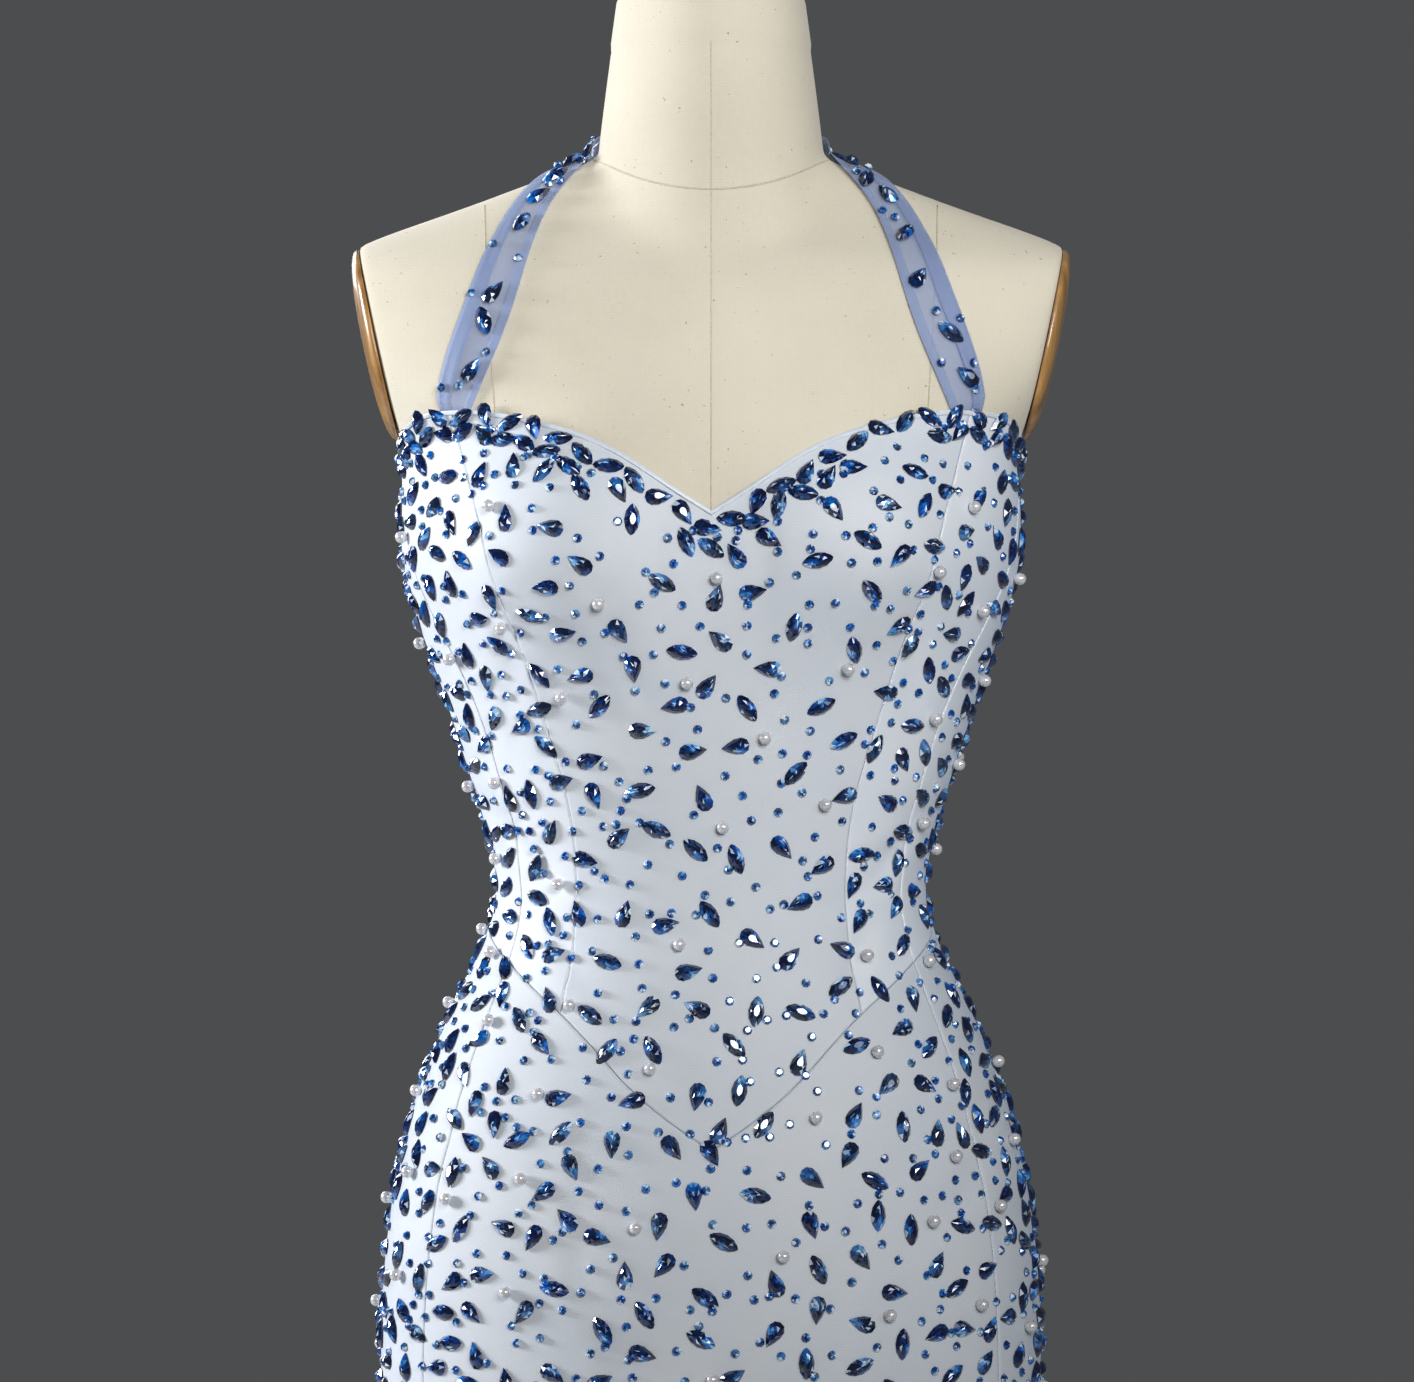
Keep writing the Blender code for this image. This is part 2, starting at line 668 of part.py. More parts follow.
def band(name, path_points, material):
    """A closed strap from its rings of points: quads between rings, and a cap at each end."""
    rings, corners = path_points.shape[:2]
    points = path_points.reshape(-1, 3)
    faces = []
    for i in range(rings - 1):
        for j in range(corners):
            k = (j + 1) % corners
            faces.append(
                (i * corners + j, i * corners + k, (i + 1) * corners + k, (i + 1) * corners + j)
            )
    faces.append(tuple(reversed(range(corners))))
    faces.append(tuple((rings - 1) * corners + j for j in range(corners)))
    obj = add_mesh(name, points, faces, material)
    tidy = bmesh.new()
    tidy.from_mesh(obj.data)
    bmesh.ops.recalc_face_normals(tidy, faces=tidy.faces[:])
    tidy.to_mesh(obj.data)
    tidy.free()
    return obj


def binding():
    """The folded band that covers the top edge all round, open at the centre back."""
    right = np.linspace(0, CENTRE_BACK, BINDING_STEPS)
    angles = np.concatenate([-right[::-1], right[1:]])
    out = BODICE_EASE + CLOTH + BINDING_GAP
    top = top_height(angles) + BINDING_ABOVE
    under = top_height(angles) - BINDING_WIDTH + BINDING_ABOVE
    rings = np.stack(
        [
            moved_out(angles, under, np.full_like(angles, out)),
            moved_out(angles, under, np.full_like(angles, out + BINDING_CLOTH)),
            moved_out(angles, top, np.full_like(angles, out + BINDING_CLOTH)),
            moved_out(angles, top, np.full_like(angles, out)),
        ],
        axis=1,
    )
    band("top_binding", rings, "binding_satin")


def straps():
    """The two halves of the halter, from the neckline's peaks to the nape."""
    share = np.linspace(0, 1, len(STRAP))
    rows = np.concatenate([share[:, None], STRAP], axis=1)
    fine = np.linspace(0, 1, STRAP_RINGS)
    middle = np.stack([spline(rows, i, fine) for i in (1, 2, 3)], axis=1)
    width, lift = spline(rows, 4, fine), spline(rows, 5, fine)
    middle, normal = seated(middle, lift)
    middle[-1, 0] = SEAM_GAP / 2
    along = np.gradient(middle, axis=0)
    across = np.cross(normal, along)
    across /= np.linalg.norm(across, axis=1, keepdims=True)
    lanes = []
    for gap, shares in ((lift, (-0.5, 0.0, 0.5)), (lift + STRAP_CLOTH, (0.5, 0.0, -0.5))):
        for place in shares:
            lane, _ = seated(middle + across * (place * width)[:, None], gap)
            foot = math.atan2(lane[0, 0], -lane[0, 1])
            lane[0] = moved_out(foot, top_height(foot) + SEAM_GAP, gap[0])
            lanes.append(lane)
    rings = np.stack(lanes, axis=1)
    rings[-1, :, 0] = SEAM_GAP / 2
    for side, word in ((-1, "left"), (1, "right")):
        band("halter_strap_" + word, rings * (side, 1, 1), "halter_net")


def form():
    """The linen torso and neck, cut flat at the armholes, and the two wooden arm plates."""
    angles = np.linspace(-math.pi, math.pi, FORM_SIDES, endpoint=False)
    turn, heights = np.meshgrid(angles, FORM_ROWS)
    ends = [figure_reach(np.full_like(FORM_ROWS, at), FORM_ROWS) for at in (math.pi / 2, 0, math.pi)]
    spread = np.clip(2 * ends[0] / (ends[1] + ends[2]), 1, 2.5)[:, None]
    turn = np.arctan2(spread * np.sin(turn), np.cos(turn))
    grid = moved_out(turn, heights, np.where(heights < BARE_NECK, -FORM_INSET, 0))
    grid[0, :, 2] = FORM_FOOT
    count = len(FORM_ROWS)
    faces = []
    for i in range(count - 1):
        for j in range(FORM_SIDES):
            k = (j + 1) % FORM_SIDES
            a, b = i * FORM_SIDES, (i + 1) * FORM_SIDES
            faces.append((a + j, a + k, b + k, b + j))
    faces.append(tuple(reversed(range(FORM_SIDES))))
    faces.append(tuple((count - 1) * FORM_SIDES + j for j in range(FORM_SIDES)))
    torso = add_mesh("form_torso", grid.reshape(-1, 3), faces, "linen")
    top, foot = np.array(ARM_PLANE_TOP), np.array(ARM_PLANE_FOOT)
    along = (top - foot) / np.linalg.norm(top - foot)
    for side, word in ((-1, "left"), (1, "right")):
        outward = Vector((side * along[1], 0, -along[0]))
        at = Vector((side * top[0], 0, top[1]))
        cut = bmesh.new()
        cut.from_mesh(torso.data)
        high = [f for f in cut.faces if min(v.co.z for v in f.verts) > ARM_CUT_ABOVE]
        edges = {e for f in high for e in f.edges}
        corners = {v for f in high for v in f.verts}
        made = bmesh.ops.bisect_plane(
            cut,
            geom=[*corners, *edges, *high],
            dist=1e-6,
            plane_co=at,
            plane_no=outward,
            clear_outer=True,
        )
        rim = [e for e in made["geom_cut"] if isinstance(e, bmesh.types.BMEdge)]
        cap = bmesh.ops.contextual_create(cut, geom=rim)["faces"][0]
        if cap.normal.dot(outward) < 0:
            cap.normal_flip()
        cut.to_mesh(torso.data)
        cut.free()
        arm_plate(word, at, outward)
    torso.data.set_sharp_from_angle(angle=math.radians(50))


def arm_plate(word, at, outward):
    """A domed wooden plate on one flat armhole. Its outline is found on the arm plane, at even
    turns round the armhole's middle."""
    ahead = Vector((0, 1, 0))
    up = ahead.cross(outward) * (1 if outward.x < 0 else -1)
    start = np.array(at - up * PLATE_MIDDLE)
    turns = np.linspace(0, 2 * math.pi, PLATE_SIDES, endpoint=False)
    lanes = np.cos(turns)[:, None] * np.array(ahead) + np.sin(turns)[:, None] * np.array(up)
    near, far = np.zeros(PLATE_SIDES), np.full(PLATE_SIDES, PLATE_REACH)
    for _ in range(30):
        middle_way = (near + far) / 2
        p = start + lanes * middle_way[:, None]
        within = np.hypot(p[:, 0], p[:, 1]) < figure_reach(np.arctan2(p[:, 0], -p[:, 1]), p[:, 2])
        near, far = np.where(within, middle_way, near), np.where(within, far, middle_way)
    ring = [Vector(p) for p in start + lanes * near[:, None]]
    middle = sum(ring, Vector()) / len(ring)
    shell = bmesh.new()
    rows = []
    for out, share in PLATE_RINGS:
        place = middle + outward * (PLATE_GAP + out)
        rows.append([shell.verts.new(place + (p - middle) * share) for p in ring])
    for under, over in zip(rows, rows[1:]):
        for j in range(len(ring)):
            k = (j + 1) % len(ring)
            shell.faces.new((under[j], under[k], over[k], over[j]))
    shell.faces.new(list(reversed(rows[0])))
    shell.faces.new(rows[-1])
    bmesh.ops.recalc_face_normals(shell, faces=shell.faces[:])
    mesh = bpy.data.meshes.new("arm_plate_" + word)
    shell.to_mesh(mesh)
    shell.free()
    mesh.shade_smooth()
    mesh.set_sharp_from_angle(angle=math.radians(40))
    add_object("arm_plate_" + word, mesh, "arm_plate_wood")


def stand():
    """The round base, turned from its profile, and the pole that carries the torso."""
    mesh = bpy.data.meshes.new("stand_base")
    mesh.from_pydata(
        [(r, 0, z) for r, z in BASE_PROFILE], [(i, i + 1) for i in range(len(BASE_PROFILE) - 1)], []
    )
    base = add_object("stand_base", mesh, "base_lacquer")
    turn = base.modifiers.new("turn", "SCREW")
    turn.steps = turn.render_steps = BASE_STEPS
    turn.use_merge_vertices = True
    turn.merge_threshold = 0.00005
    turn.use_smooth_shade = True
    foot = BASE_PROFILE[0][1] + CONTACT_GAP
    top = FORM_FOOT - CONTACT_GAP
    pole = bpy.data.meshes.new("stand_pole")
    tube = bmesh.new()
    bmesh.ops.create_cone(
        tube,
        cap_ends=True,
        segments=POLE_SIDES,
        radius1=POLE_RADIUS,
        radius2=POLE_RADIUS,
        depth=top - foot,
        matrix=Matrix.Translation((0, 0, (top + foot) / 2)),
    )
    tube.to_mesh(pole)
    tube.free()
    pole.shade_smooth()
    pole.set_sharp_from_angle(angle=math.radians(40))
    add_object("stand_pole", pole, "steel")


def material(name, colour, roughness, metallic):
    """A material with a plain finish."""
    made = bpy.data.materials.new(name)
    made.use_nodes = True
    shader = made.node_tree.nodes["Principled BSDF"]
    shader.inputs["Base Color"].default_value = (*colour, 1)
    shader.inputs["Roughness"].default_value = roughness
    shader.inputs["Metallic"].default_value = metallic
    return made


for old in list(bpy.data.objects):
    bpy.data.objects.remove(old)
PARTS = bpy.data.collections.new("evening_dress_on_form")
bpy.context.scene.collection.children.link(PARTS)
MATERIALS = {name: material(name, *values) for name, values in COLOURS.items()}
bodice()
skirt()
binding()
straps()
form()
stand()
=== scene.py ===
import math

import bpy
import numpy as np
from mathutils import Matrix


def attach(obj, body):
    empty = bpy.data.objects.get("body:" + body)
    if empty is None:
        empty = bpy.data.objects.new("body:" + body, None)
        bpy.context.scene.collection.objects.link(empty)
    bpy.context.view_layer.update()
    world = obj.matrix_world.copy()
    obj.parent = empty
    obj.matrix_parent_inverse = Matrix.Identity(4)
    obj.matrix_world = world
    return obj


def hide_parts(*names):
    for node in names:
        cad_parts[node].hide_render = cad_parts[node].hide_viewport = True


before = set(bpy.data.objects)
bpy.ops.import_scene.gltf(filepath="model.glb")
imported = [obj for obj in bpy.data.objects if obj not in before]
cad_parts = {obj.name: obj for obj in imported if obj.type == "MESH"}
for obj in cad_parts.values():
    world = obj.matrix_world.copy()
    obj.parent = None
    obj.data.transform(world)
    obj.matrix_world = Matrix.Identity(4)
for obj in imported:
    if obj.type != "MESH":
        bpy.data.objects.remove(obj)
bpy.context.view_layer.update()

# The stand: a round pressed plate in cream lacquer with a socket in its middle, and a brushed
# steel pole that carries the torso. Both keep their own solids and get their finish here.
LACQUER = (0.66, 0.63, 0.56, 1)
LACQUER_WORN = (0.50, 0.47, 0.41, 1)
LACQUER_SCUFFS = 26.0
LACQUER_GRAIN = 900.0
POLE_STEEL = (0.55, 0.55, 0.57, 1)
POLE_STEEL_DULL = (0.38, 0.38, 0.40, 1)
POLE_BRUSHING = (60.0, 60.0, 1600.0)


def finish(name, **sockets):
    """A new material and its shader. Each keyword is a socket of the shader, blanks written _."""
    made = bpy.data.materials.new(name)
    made.use_nodes = True
    shader = made.node_tree.nodes["Principled BSDF"]
    for socket, value in sockets.items():
        shader.inputs[socket.replace("_", " ")].default_value = value
    return made, shader


def node(material, kind, inputs, **own):
    """A shader node. Each of its inputs is a plain value or the output of another node."""
    made = material.node_tree.nodes.new("ShaderNode" + kind)
    for key, value in own.items():
        setattr(made, key, value)
    for key, value in inputs.items():
        if isinstance(value, bpy.types.NodeSocket):
            material.node_tree.links.new(value, made.inputs[key])
        else:
            made.inputs[key].default_value = value
    return made


def on_object(material):
    """The place on the object, in metres."""
    return node(material, "TexCoord", {}).outputs["Object"]


def mapped(material, place, scale, turn=0.0):
    """A place turned about the third axis by some degrees and stretched."""
    inputs = {"Vector": place, "Rotation": (0, 0, math.radians(turn)), "Scale": scale}
    return node(material, "Mapping", inputs).outputs["Vector"]


def noise(material, place, scale, detail, roughness=0.5):
    """Cloudy noise from 0 to 1, with scale clouds or so to the metre."""
    inputs = {"Vector": place, "Scale": scale, "Detail": detail, "Roughness": roughness}
    return node(material, "TexNoise", inputs).outputs["Fac"]


def blended(material, share, first, second):
    """The first colour where share is 0, the second where it is 1."""
    mixed = node(material, "Mix", {0: share, 6: first, 7: second}, data_type="RGBA")
    return mixed.outputs[2]


def banded(material, value, low, high):
    """0 where a value is under low, 1 over high, and even between."""
    made = node(material, "MapRange", {"Value": value, "From Min": low, "From Max": high})
    return made.outputs["Result"]


def painted(material, shader, colour):
    """Gives the shader a colour."""
    material.node_tree.links.new(colour, shader.inputs["Base Color"])


def raised(material, shader, height, distance, strength=1.0):
    """Gives the shader a bump from a height."""
    bump = node(material, "Bump", {"Height": height, "Distance": distance, "Strength": strength})
    material.node_tree.links.new(bump.outputs["Normal"], shader.inputs["Normal"])


lacquer, lacquer_shader = finish("cream_lacquer", Roughness=0.38, Coat_Weight=0.4)
place = on_object(lacquer)
scuffs = banded(lacquer, noise(lacquer, place, LACQUER_SCUFFS, 6.0), 0.56, 0.72)
painted(lacquer, lacquer_shader, blended(lacquer, scuffs, LACQUER, LACQUER_WORN))
raised(lacquer, lacquer_shader, noise(lacquer, place, LACQUER_GRAIN, 2.0), 0.0002)

steel, steel_shader = finish("brushed_steel_pole", Metallic=1.0, Roughness=0.34)
brush = noise(steel, mapped(steel, on_object(steel), POLE_BRUSHING), 1.0, 4.0)
shade = blended(steel, banded(steel, brush, 0.35, 0.65), POLE_STEEL_DULL, POLE_STEEL)
painted(steel, steel_shader, shade)
raised(steel, steel_shader, brush, 0.0001)

for name, material in (("stand_base", lacquer), ("stand_pole", steel)):
    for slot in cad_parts[name].material_slots:
        slot.material = material


# The torso: a stiff form with a close linen cover, sewn from long panels and cut flat at the
# armholes. Its level sections also carry the gown, so the cloth pieces read them again below.
FIGURE = np.array(
    (
        # height, half width, front depth, back depth, squareness
        (0.0000, 0.2660, 0.2660, 0.2660, 2.00),
        (0.1000, 0.2290, 0.2260, 0.2320, 2.00),
        (0.2000, 0.1950, 0.1860, 0.1930, 2.02),
        (0.3000, 0.1690, 0.1540, 0.1610, 2.05),
        (0.4000, 0.1510, 0.1310, 0.1370, 2.10),
        (0.5000, 0.1440, 0.1180, 0.1250, 2.15),
        (0.6000, 0.1460, 0.1125, 0.1200, 2.20),
        (0.7000, 0.1525, 0.1115, 0.1210, 2.22),
        (0.8000, 0.1590, 0.1120, 0.1235, 2.25),
        (0.8600, 0.1615, 0.1120, 0.1245, 2.25),
        (0.9200, 0.1593, 0.1095, 0.1220, 2.25),
        (0.9800, 0.1487, 0.1030, 0.1120, 2.25),
        (1.0400, 0.1265, 0.0930, 0.0950, 2.25),
        (1.0950, 0.1050, 0.0845, 0.0800, 2.25),
        (1.1500, 0.1150, 0.0870, 0.0810, 2.25),
        (1.2100, 0.1345, 0.0960, 0.0860, 2.25),
        (1.2700, 0.1515, 0.1060, 0.0920, 2.25),
        (1.3050, 0.1515, 0.1040, 0.0940, 2.25),
        (1.3250, 0.1555, 0.0985, 0.0945, 2.25),
        (1.3450, 0.1700, 0.0920, 0.0945, 2.25),
        (1.3750, 0.1885, 0.0815, 0.0930, 2.25),
        (1.4000, 0.1940, 0.0710, 0.0860, 2.22),
        (1.4150, 0.1880, 0.0590, 0.0740, 2.20),
        (1.4250, 0.1700, 0.0480, 0.0640, 2.15),
        (1.4350, 0.1430, 0.0380, 0.0540, 2.10),
        (1.4450, 0.1150, 0.0300, 0.0450, 2.05),
        (1.4550, 0.0880, 0.0230, 0.0350, 2.00),
        (1.4650, 0.0570, 0.0150, 0.0240, 2.00),
        (1.4750, 0.0200, 0.0060, 0.0110, 2.00),
    )
)
CUP_ANGLE = math.radians(37)
CUP_SPREAD = math.radians(21)
CUP_HEIGHT = 1.268
CUP_ABOVE = 0.060
CUP_BELOW = 0.043
CUP_RISE = 0.019
NECK = np.array(
    (
        # height, half width, half depth, middle
        (1.3600, 0.0300, 0.0300, 0.0040),
        (1.4000, 0.0540, 0.0560, 0.0065),
        (1.4200, 0.0640, 0.0660, 0.0085),
        (1.4440, 0.0610, 0.0635, 0.0095),
        (1.4700, 0.0570, 0.0595, 0.0075),
        (1.5000, 0.0532, 0.0560, 0.0030),
        (1.5505, 0.0462, 0.0510, -0.0040),
    )
)
NECK_TOP = 1.5505
NECK_ROUNDING = 0.0080
NECK_BLEND = 9.0
FLUTES = 10
FLUTE_START = 0.46
FLUTE_SHARE = 0.050
FLUTE_UNEVEN = 0.35
ARM_PLANE_TOP = (0.1722, 1.4050)
ARM_PLANE_FOOT = (0.1550, 1.3235)
ARM_EDGE = 0.0016
FORM_FOOT = 0.800
FORM_INSET = 0.0007
LINEN = (0.745, 0.695, 0.575, 1)
LINEN_SHADE = (0.605, 0.56, 0.455, 1)
LINEN_FLECK = (0.40, 0.33, 0.22, 1)
LINEN_THREAD = 0.00075
LINEN_WANDER = 0.0012
LINEN_WANDERS = 55.0
LINEN_SLUBS = 340.0
LINEN_PATCHES = 9.0
LINEN_FLECKS = 420.0
# the scale at which Blender's wave texture has one band to each unit
ONE_BAND = 0.314
COVER_BANDS = (
    # height of the first row, of the last row, rows
    (FORM_FOOT, 1.25, 34),
    (1.25, 1.40, 60),
    (1.40, 1.50, 56),
    (1.50, 1.5425, 12),
)
COVER_COLUMNS = 300


def spline(table, column, at):
    """A column of a table at any place along its first column, on a natural cubic curve."""
    x, y = table[:, 0], table[:, column]
    step = np.diff(x)
    count = len(x)
    matrix = np.eye(count)
    right = np.zeros(count)
    for i in range(1, count - 1):
        matrix[i, i - 1 : i + 2] = step[i - 1], 2 * (step[i - 1] + step[i]), step[i]
        right[i] = 6 * ((y[i + 1] - y[i]) / step[i] - (y[i] - y[i - 1]) / step[i - 1])
    bend = np.linalg.solve(matrix, right)
    at = np.clip(np.asarray(at, float), x[0], x[-1])
    i = np.clip(np.searchsorted(x, at) - 1, 0, count - 2)
    before, after = x[i + 1] - at, at - x[i]
    return (
        (bend[i] * before**3 + bend[i + 1] * after**3) / (6 * step[i])
        + (y[i] / step[i] - bend[i] * step[i] / 6) * before
        + (y[i + 1] / step[i] - bend[i + 1] * step[i] / 6) * after
    )


def trunk_reach(angle, height):
    """Reach from the axis: a squared-off ellipse with separate front and back depths, plus a
    Gaussian rise for each cup, times one plus the cosine of the skirt's flutes near the hem."""
    half_width, front, back, squareness = (spline(FIGURE, i, height) for i in range(1, 5))
    side, ahead = np.sin(angle), np.cos(angle)
    depth = np.where(ahead > 0, front, back)
    reach = (np.abs(side / half_width) ** squareness + np.abs(ahead / depth) ** squareness) ** (
        -1 / squareness
    )
    fall = np.where(height > CUP_HEIGHT, CUP_ABOVE, CUP_BELOW)
    for cup in (-CUP_ANGLE, CUP_ANGLE):
        reach = reach + CUP_RISE * np.exp(
            -(((angle - cup) / CUP_SPREAD) ** 2) - ((height - CUP_HEIGHT) / fall) ** 2
        )
    swell = np.clip(1 - height / FLUTE_START, 0, 1) ** 1.6
    wave = np.cos(FLUTES * angle) * (1 + FLUTE_UNEVEN * np.cos(2 * angle))
    return reach * (1 + FLUTE_SHARE * swell * wave)


def neck_reach(angle, height):
    """Reach from the axis to an ellipse whose middle lies off it: the root of a quadratic."""
    half_width, half_depth, middle = (spline(NECK, i, height) for i in range(1, 4))
    side, ahead = np.sin(angle), np.cos(angle)
    a = (side / half_width) ** 2 + (ahead / half_depth) ** 2
    b = 2 * ahead * middle / half_depth**2
    c = (middle / half_depth) ** 2 - 1
    reach = (-b + np.sqrt(b * b - 4 * a * c)) / (2 * a)
    over = np.clip(height - (NECK_TOP - NECK_ROUNDING), 0, NECK_ROUNDING)
    return reach - NECK_ROUNDING + np.sqrt(NECK_ROUNDING**2 - over**2)


def figure_reach(angle, height):
    """The larger of the trunk's and the neck's reach, blended where they are alike: the root of
    order NECK_BLEND of the sum of their powers."""
    trunk = trunk_reach(angle, height)
    neck = np.where(height > NECK[0, 0], neck_reach(angle, height), 0.001)
    return (trunk**NECK_BLEND + neck**NECK_BLEND) ** (1 / NECK_BLEND)


def on_figure(angle, height):
    """The point at the figure's reach: (reach sin angle, -reach cos angle, height)."""
    reach = figure_reach(angle, height)
    return np.stack([reach * np.sin(angle), -reach * np.cos(angle), height + 0 * reach], axis=-1)


def outward(angle, height):
    """The unit normal: the cross product of the steps round the figure and up it."""
    turn, rise = 2e-3, 5e-4
    across = on_figure(angle + turn, height) - on_figure(angle - turn, height)
    up = on_figure(angle, height + rise) - on_figure(angle, height - rise)
    normal = np.cross(across, up)
    return normal / np.linalg.norm(normal, axis=-1, keepdims=True)


def moved_out(angle, height, out):
    """The figure's point moved along its normal by out."""
    angle, height = np.asarray(angle, float), np.asarray(height, float)
    return on_figure(angle, height) + outward(angle, height) * np.asarray(out)[..., None]


def surface(name, points, material, uv=None, ring=False, capped=False):
    """A mesh on a grid of points, rows by columns. With ring the last column joins the first,
    and capped closes the first and the last row with a face each."""
    rows, columns = points.shape[:2]
    right = (np.arange(columns) + 1) % columns if ring else np.arange(1, columns)
    left = np.arange(len(right))
    start = np.arange(rows - 1)[:, None] * columns
    corners = [start + left, start + right, start + columns + right, start + columns + left]
    faces = np.stack(corners, axis=-1).reshape(-1, 4).tolist()
    if capped:
        faces.append(list(range(columns - 1, -1, -1)))
        faces.append(list(range((rows - 1) * columns, rows * columns)))
    mesh = bpy.data.meshes.new(name)
    mesh.from_pydata(points.reshape(-1, 3), [], faces)
    if uv is not None:
        at = np.zeros(len(mesh.loops), np.int32)
        mesh.loops.foreach_get("vertex_index", at)
        layer = mesh.uv_layers.new(name="cloth")
        layer.data.foreach_set("uv", uv.reshape(-1, 2)[at].astype(np.float32).ravel())
    mesh.shade_smooth()
    mesh.materials.append(material)
    piece = bpy.data.objects.new(name, mesh)
    bpy.context.scene.collection.objects.link(piece)
    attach(piece, "root")
    return piece


def worked(material, operation, first, second):
    """The sum, the product or the larger of two values, as the operation says."""
    return node(material, "Math", {0: first, 1: second}, operation=operation).outputs[0]


def bands(material, place, pitch, direction):
    """Even bands across a direction, a pitch apart."""
    inputs = {"Vector": place, "Scale": ONE_BAND / pitch}
    return node(material, "TexWave", inputs, bands_direction=direction).outputs["Fac"]


linen, linen_shader = finish("cream_linen", Roughness=0.86, Sheen_Weight=0.25)
linen_shader.inputs["Specular IOR Level"].default_value = 0.2
place = on_object(linen)
inputs = {"Vector": place, "Scale": LINEN_WANDERS, "Detail": 3.0}
wander = node(linen, "TexNoise", inputs).outputs["Color"]
bent = node(linen, "VectorMath", {0: wander, 1: [LINEN_WANDER] * 3}, operation="MULTIPLY")
woven = node(linen, "VectorMath", {0: place, 1: bent.outputs[0]}, operation="ADD").outputs[0]
weft, warp = (bands(linen, woven, LINEN_THREAD, direction) for direction in "ZX")
weave = worked(linen, "MULTIPLY", weft, warp)
threads = worked(linen, "MULTIPLY", weave, noise(linen, place, LINEN_SLUBS, 5.0))
tone = worked(linen, "ADD", threads, noise(linen, place, LINEN_PATCHES, 4.0))
shade = blended(linen, banded(linen, tone, 0.35, 0.95), LINEN_SHADE, LINEN)
fleck = banded(linen, noise(linen, place, LINEN_FLECKS, 1.0), 0.74, 0.80)
painted(linen, linen_shader, blended(linen, fleck, shade, LINEN_FLECK))
raised(linen, linen_shader, threads, 0.0002, 0.6)

rounded = NECK_TOP - NECK_ROUNDING + NECK_ROUNDING * np.sin(np.linspace(0, math.pi / 2, 9))
cover_rows = np.concatenate([np.linspace(*band)[:-1] for band in COVER_BANDS] + [rounded])
turns = np.linspace(-math.pi, math.pi, COVER_COLUMNS, endpoint=False)
ends = [figure_reach(np.full_like(cover_rows, at), cover_rows) for at in (math.pi / 2, 0, math.pi)]
spread = np.clip(2 * ends[0] / (ends[1] + ends[2]), 1, 2.5)[:, None]
cover_turns = np.arctan2(spread * np.sin(turns), np.cos(turns))
cover_heights = cover_rows[:, None] + 0 * cover_turns
inset = np.where(cover_heights < NECK_TOP - 0.03, -FORM_INSET, 0)
cover = moved_out(cover_turns, np.minimum(cover_heights, NECK_TOP - 1e-5), inset)
cover[:, :, 2] = np.where(cover_heights >= NECK_TOP - 0.0001, NECK_TOP, cover[:, :, 2])
cover[0, :, 2] = FORM_FOOT
lean = (ARM_PLANE_TOP[0] - ARM_PLANE_FOOT[0]) / (ARM_PLANE_TOP[1] - ARM_PLANE_FOOT[1])
arm_x = ARM_PLANE_TOP[0] + (cover[:, :, 2] - ARM_PLANE_TOP[1]) * lean
room = (arm_x - np.abs(cover[:, :, 0])) / ARM_EDGE
kept = ARM_EDGE * (np.maximum(room, 0) + np.log1p(np.exp(-np.abs(room))))
cut = np.sign(cover[:, :, 0]) * (arm_x - kept)
cover[:, :, 0] = np.where(cover[:, :, 2] > 1.30, cut, cover[:, :, 0])
crown_share = np.array((0.96, 0.85, 0.6, 0.3))[:, None, None]
crown_middle = cover[-1].mean(axis=0)
crown = crown_middle + crown_share * (cover[-1] - crown_middle)
form_linen = surface("form_linen", np.concatenate([cover, crown]), linen, ring=True, capped=True)
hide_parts("form_torso")

# The cover's own seams: fine lines down the middle and over each bust point, and round the neck,
# where the linen's turned edges are pressed to one side and the thread shows in the crease.
SEAM_THREAD = (0.58, 0.53, 0.42, 1)
SEAM_CREASE = (0.50, 0.45, 0.34, 1)
SEAM_TWISTS = 600.0
# half width, rise
COVER_SEAM = (0.0004, 0.0002)
NECK_SEAM = (0.0005, 0.0003)
COVER_SEAM_FOOT = 1.245
NECK_SEAM_HEIGHT = 1.4735
NECK_SEAM_DIP = 0.0265
PANEL_SEAM_OUT = 0.1060
PANEL_SEAM_FROM = 1.336
PANEL_SEAM_RISE = 0.108
PANEL_SEAM_GAIN = 0.0070
seam_linen, seam_shader = finish("linen_seam", Roughness=0.9)
twist = noise(seam_linen, on_object(seam_linen), SEAM_TWISTS, 3.0)
shade = blended(seam_linen, banded(seam_linen, twist, 0.4, 0.6), SEAM_CREASE, SEAM_THREAD)
painted(seam_linen, seam_shader, shade)
raised(seam_linen, seam_shader, twist, 0.0002)


def welt(name, path, normal, across, out, material, ring=False):
    """A thin rolled seam: an ellipse of half sizes across and out, carried along a path."""
    if ring:
        along = np.roll(path, -1, axis=0) - np.roll(path, 1, axis=0)
    else:
        along = np.gradient(path, axis=0)
    beside = np.cross(normal, along)
    beside /= np.linalg.norm(beside, axis=1, keepdims=True)
    turn = np.linspace(0, 2 * math.pi, 6, endpoint=False)[:, None, None]
    rings = path + across * np.cos(turn) * beside + out * np.sin(turn) * normal
    grid = rings.transpose(1, 0, 2)
    if ring:
        grid = np.concatenate([grid, grid[:1]])
    return surface(name, grid[:, ::-1], material, ring=True, capped=not ring)


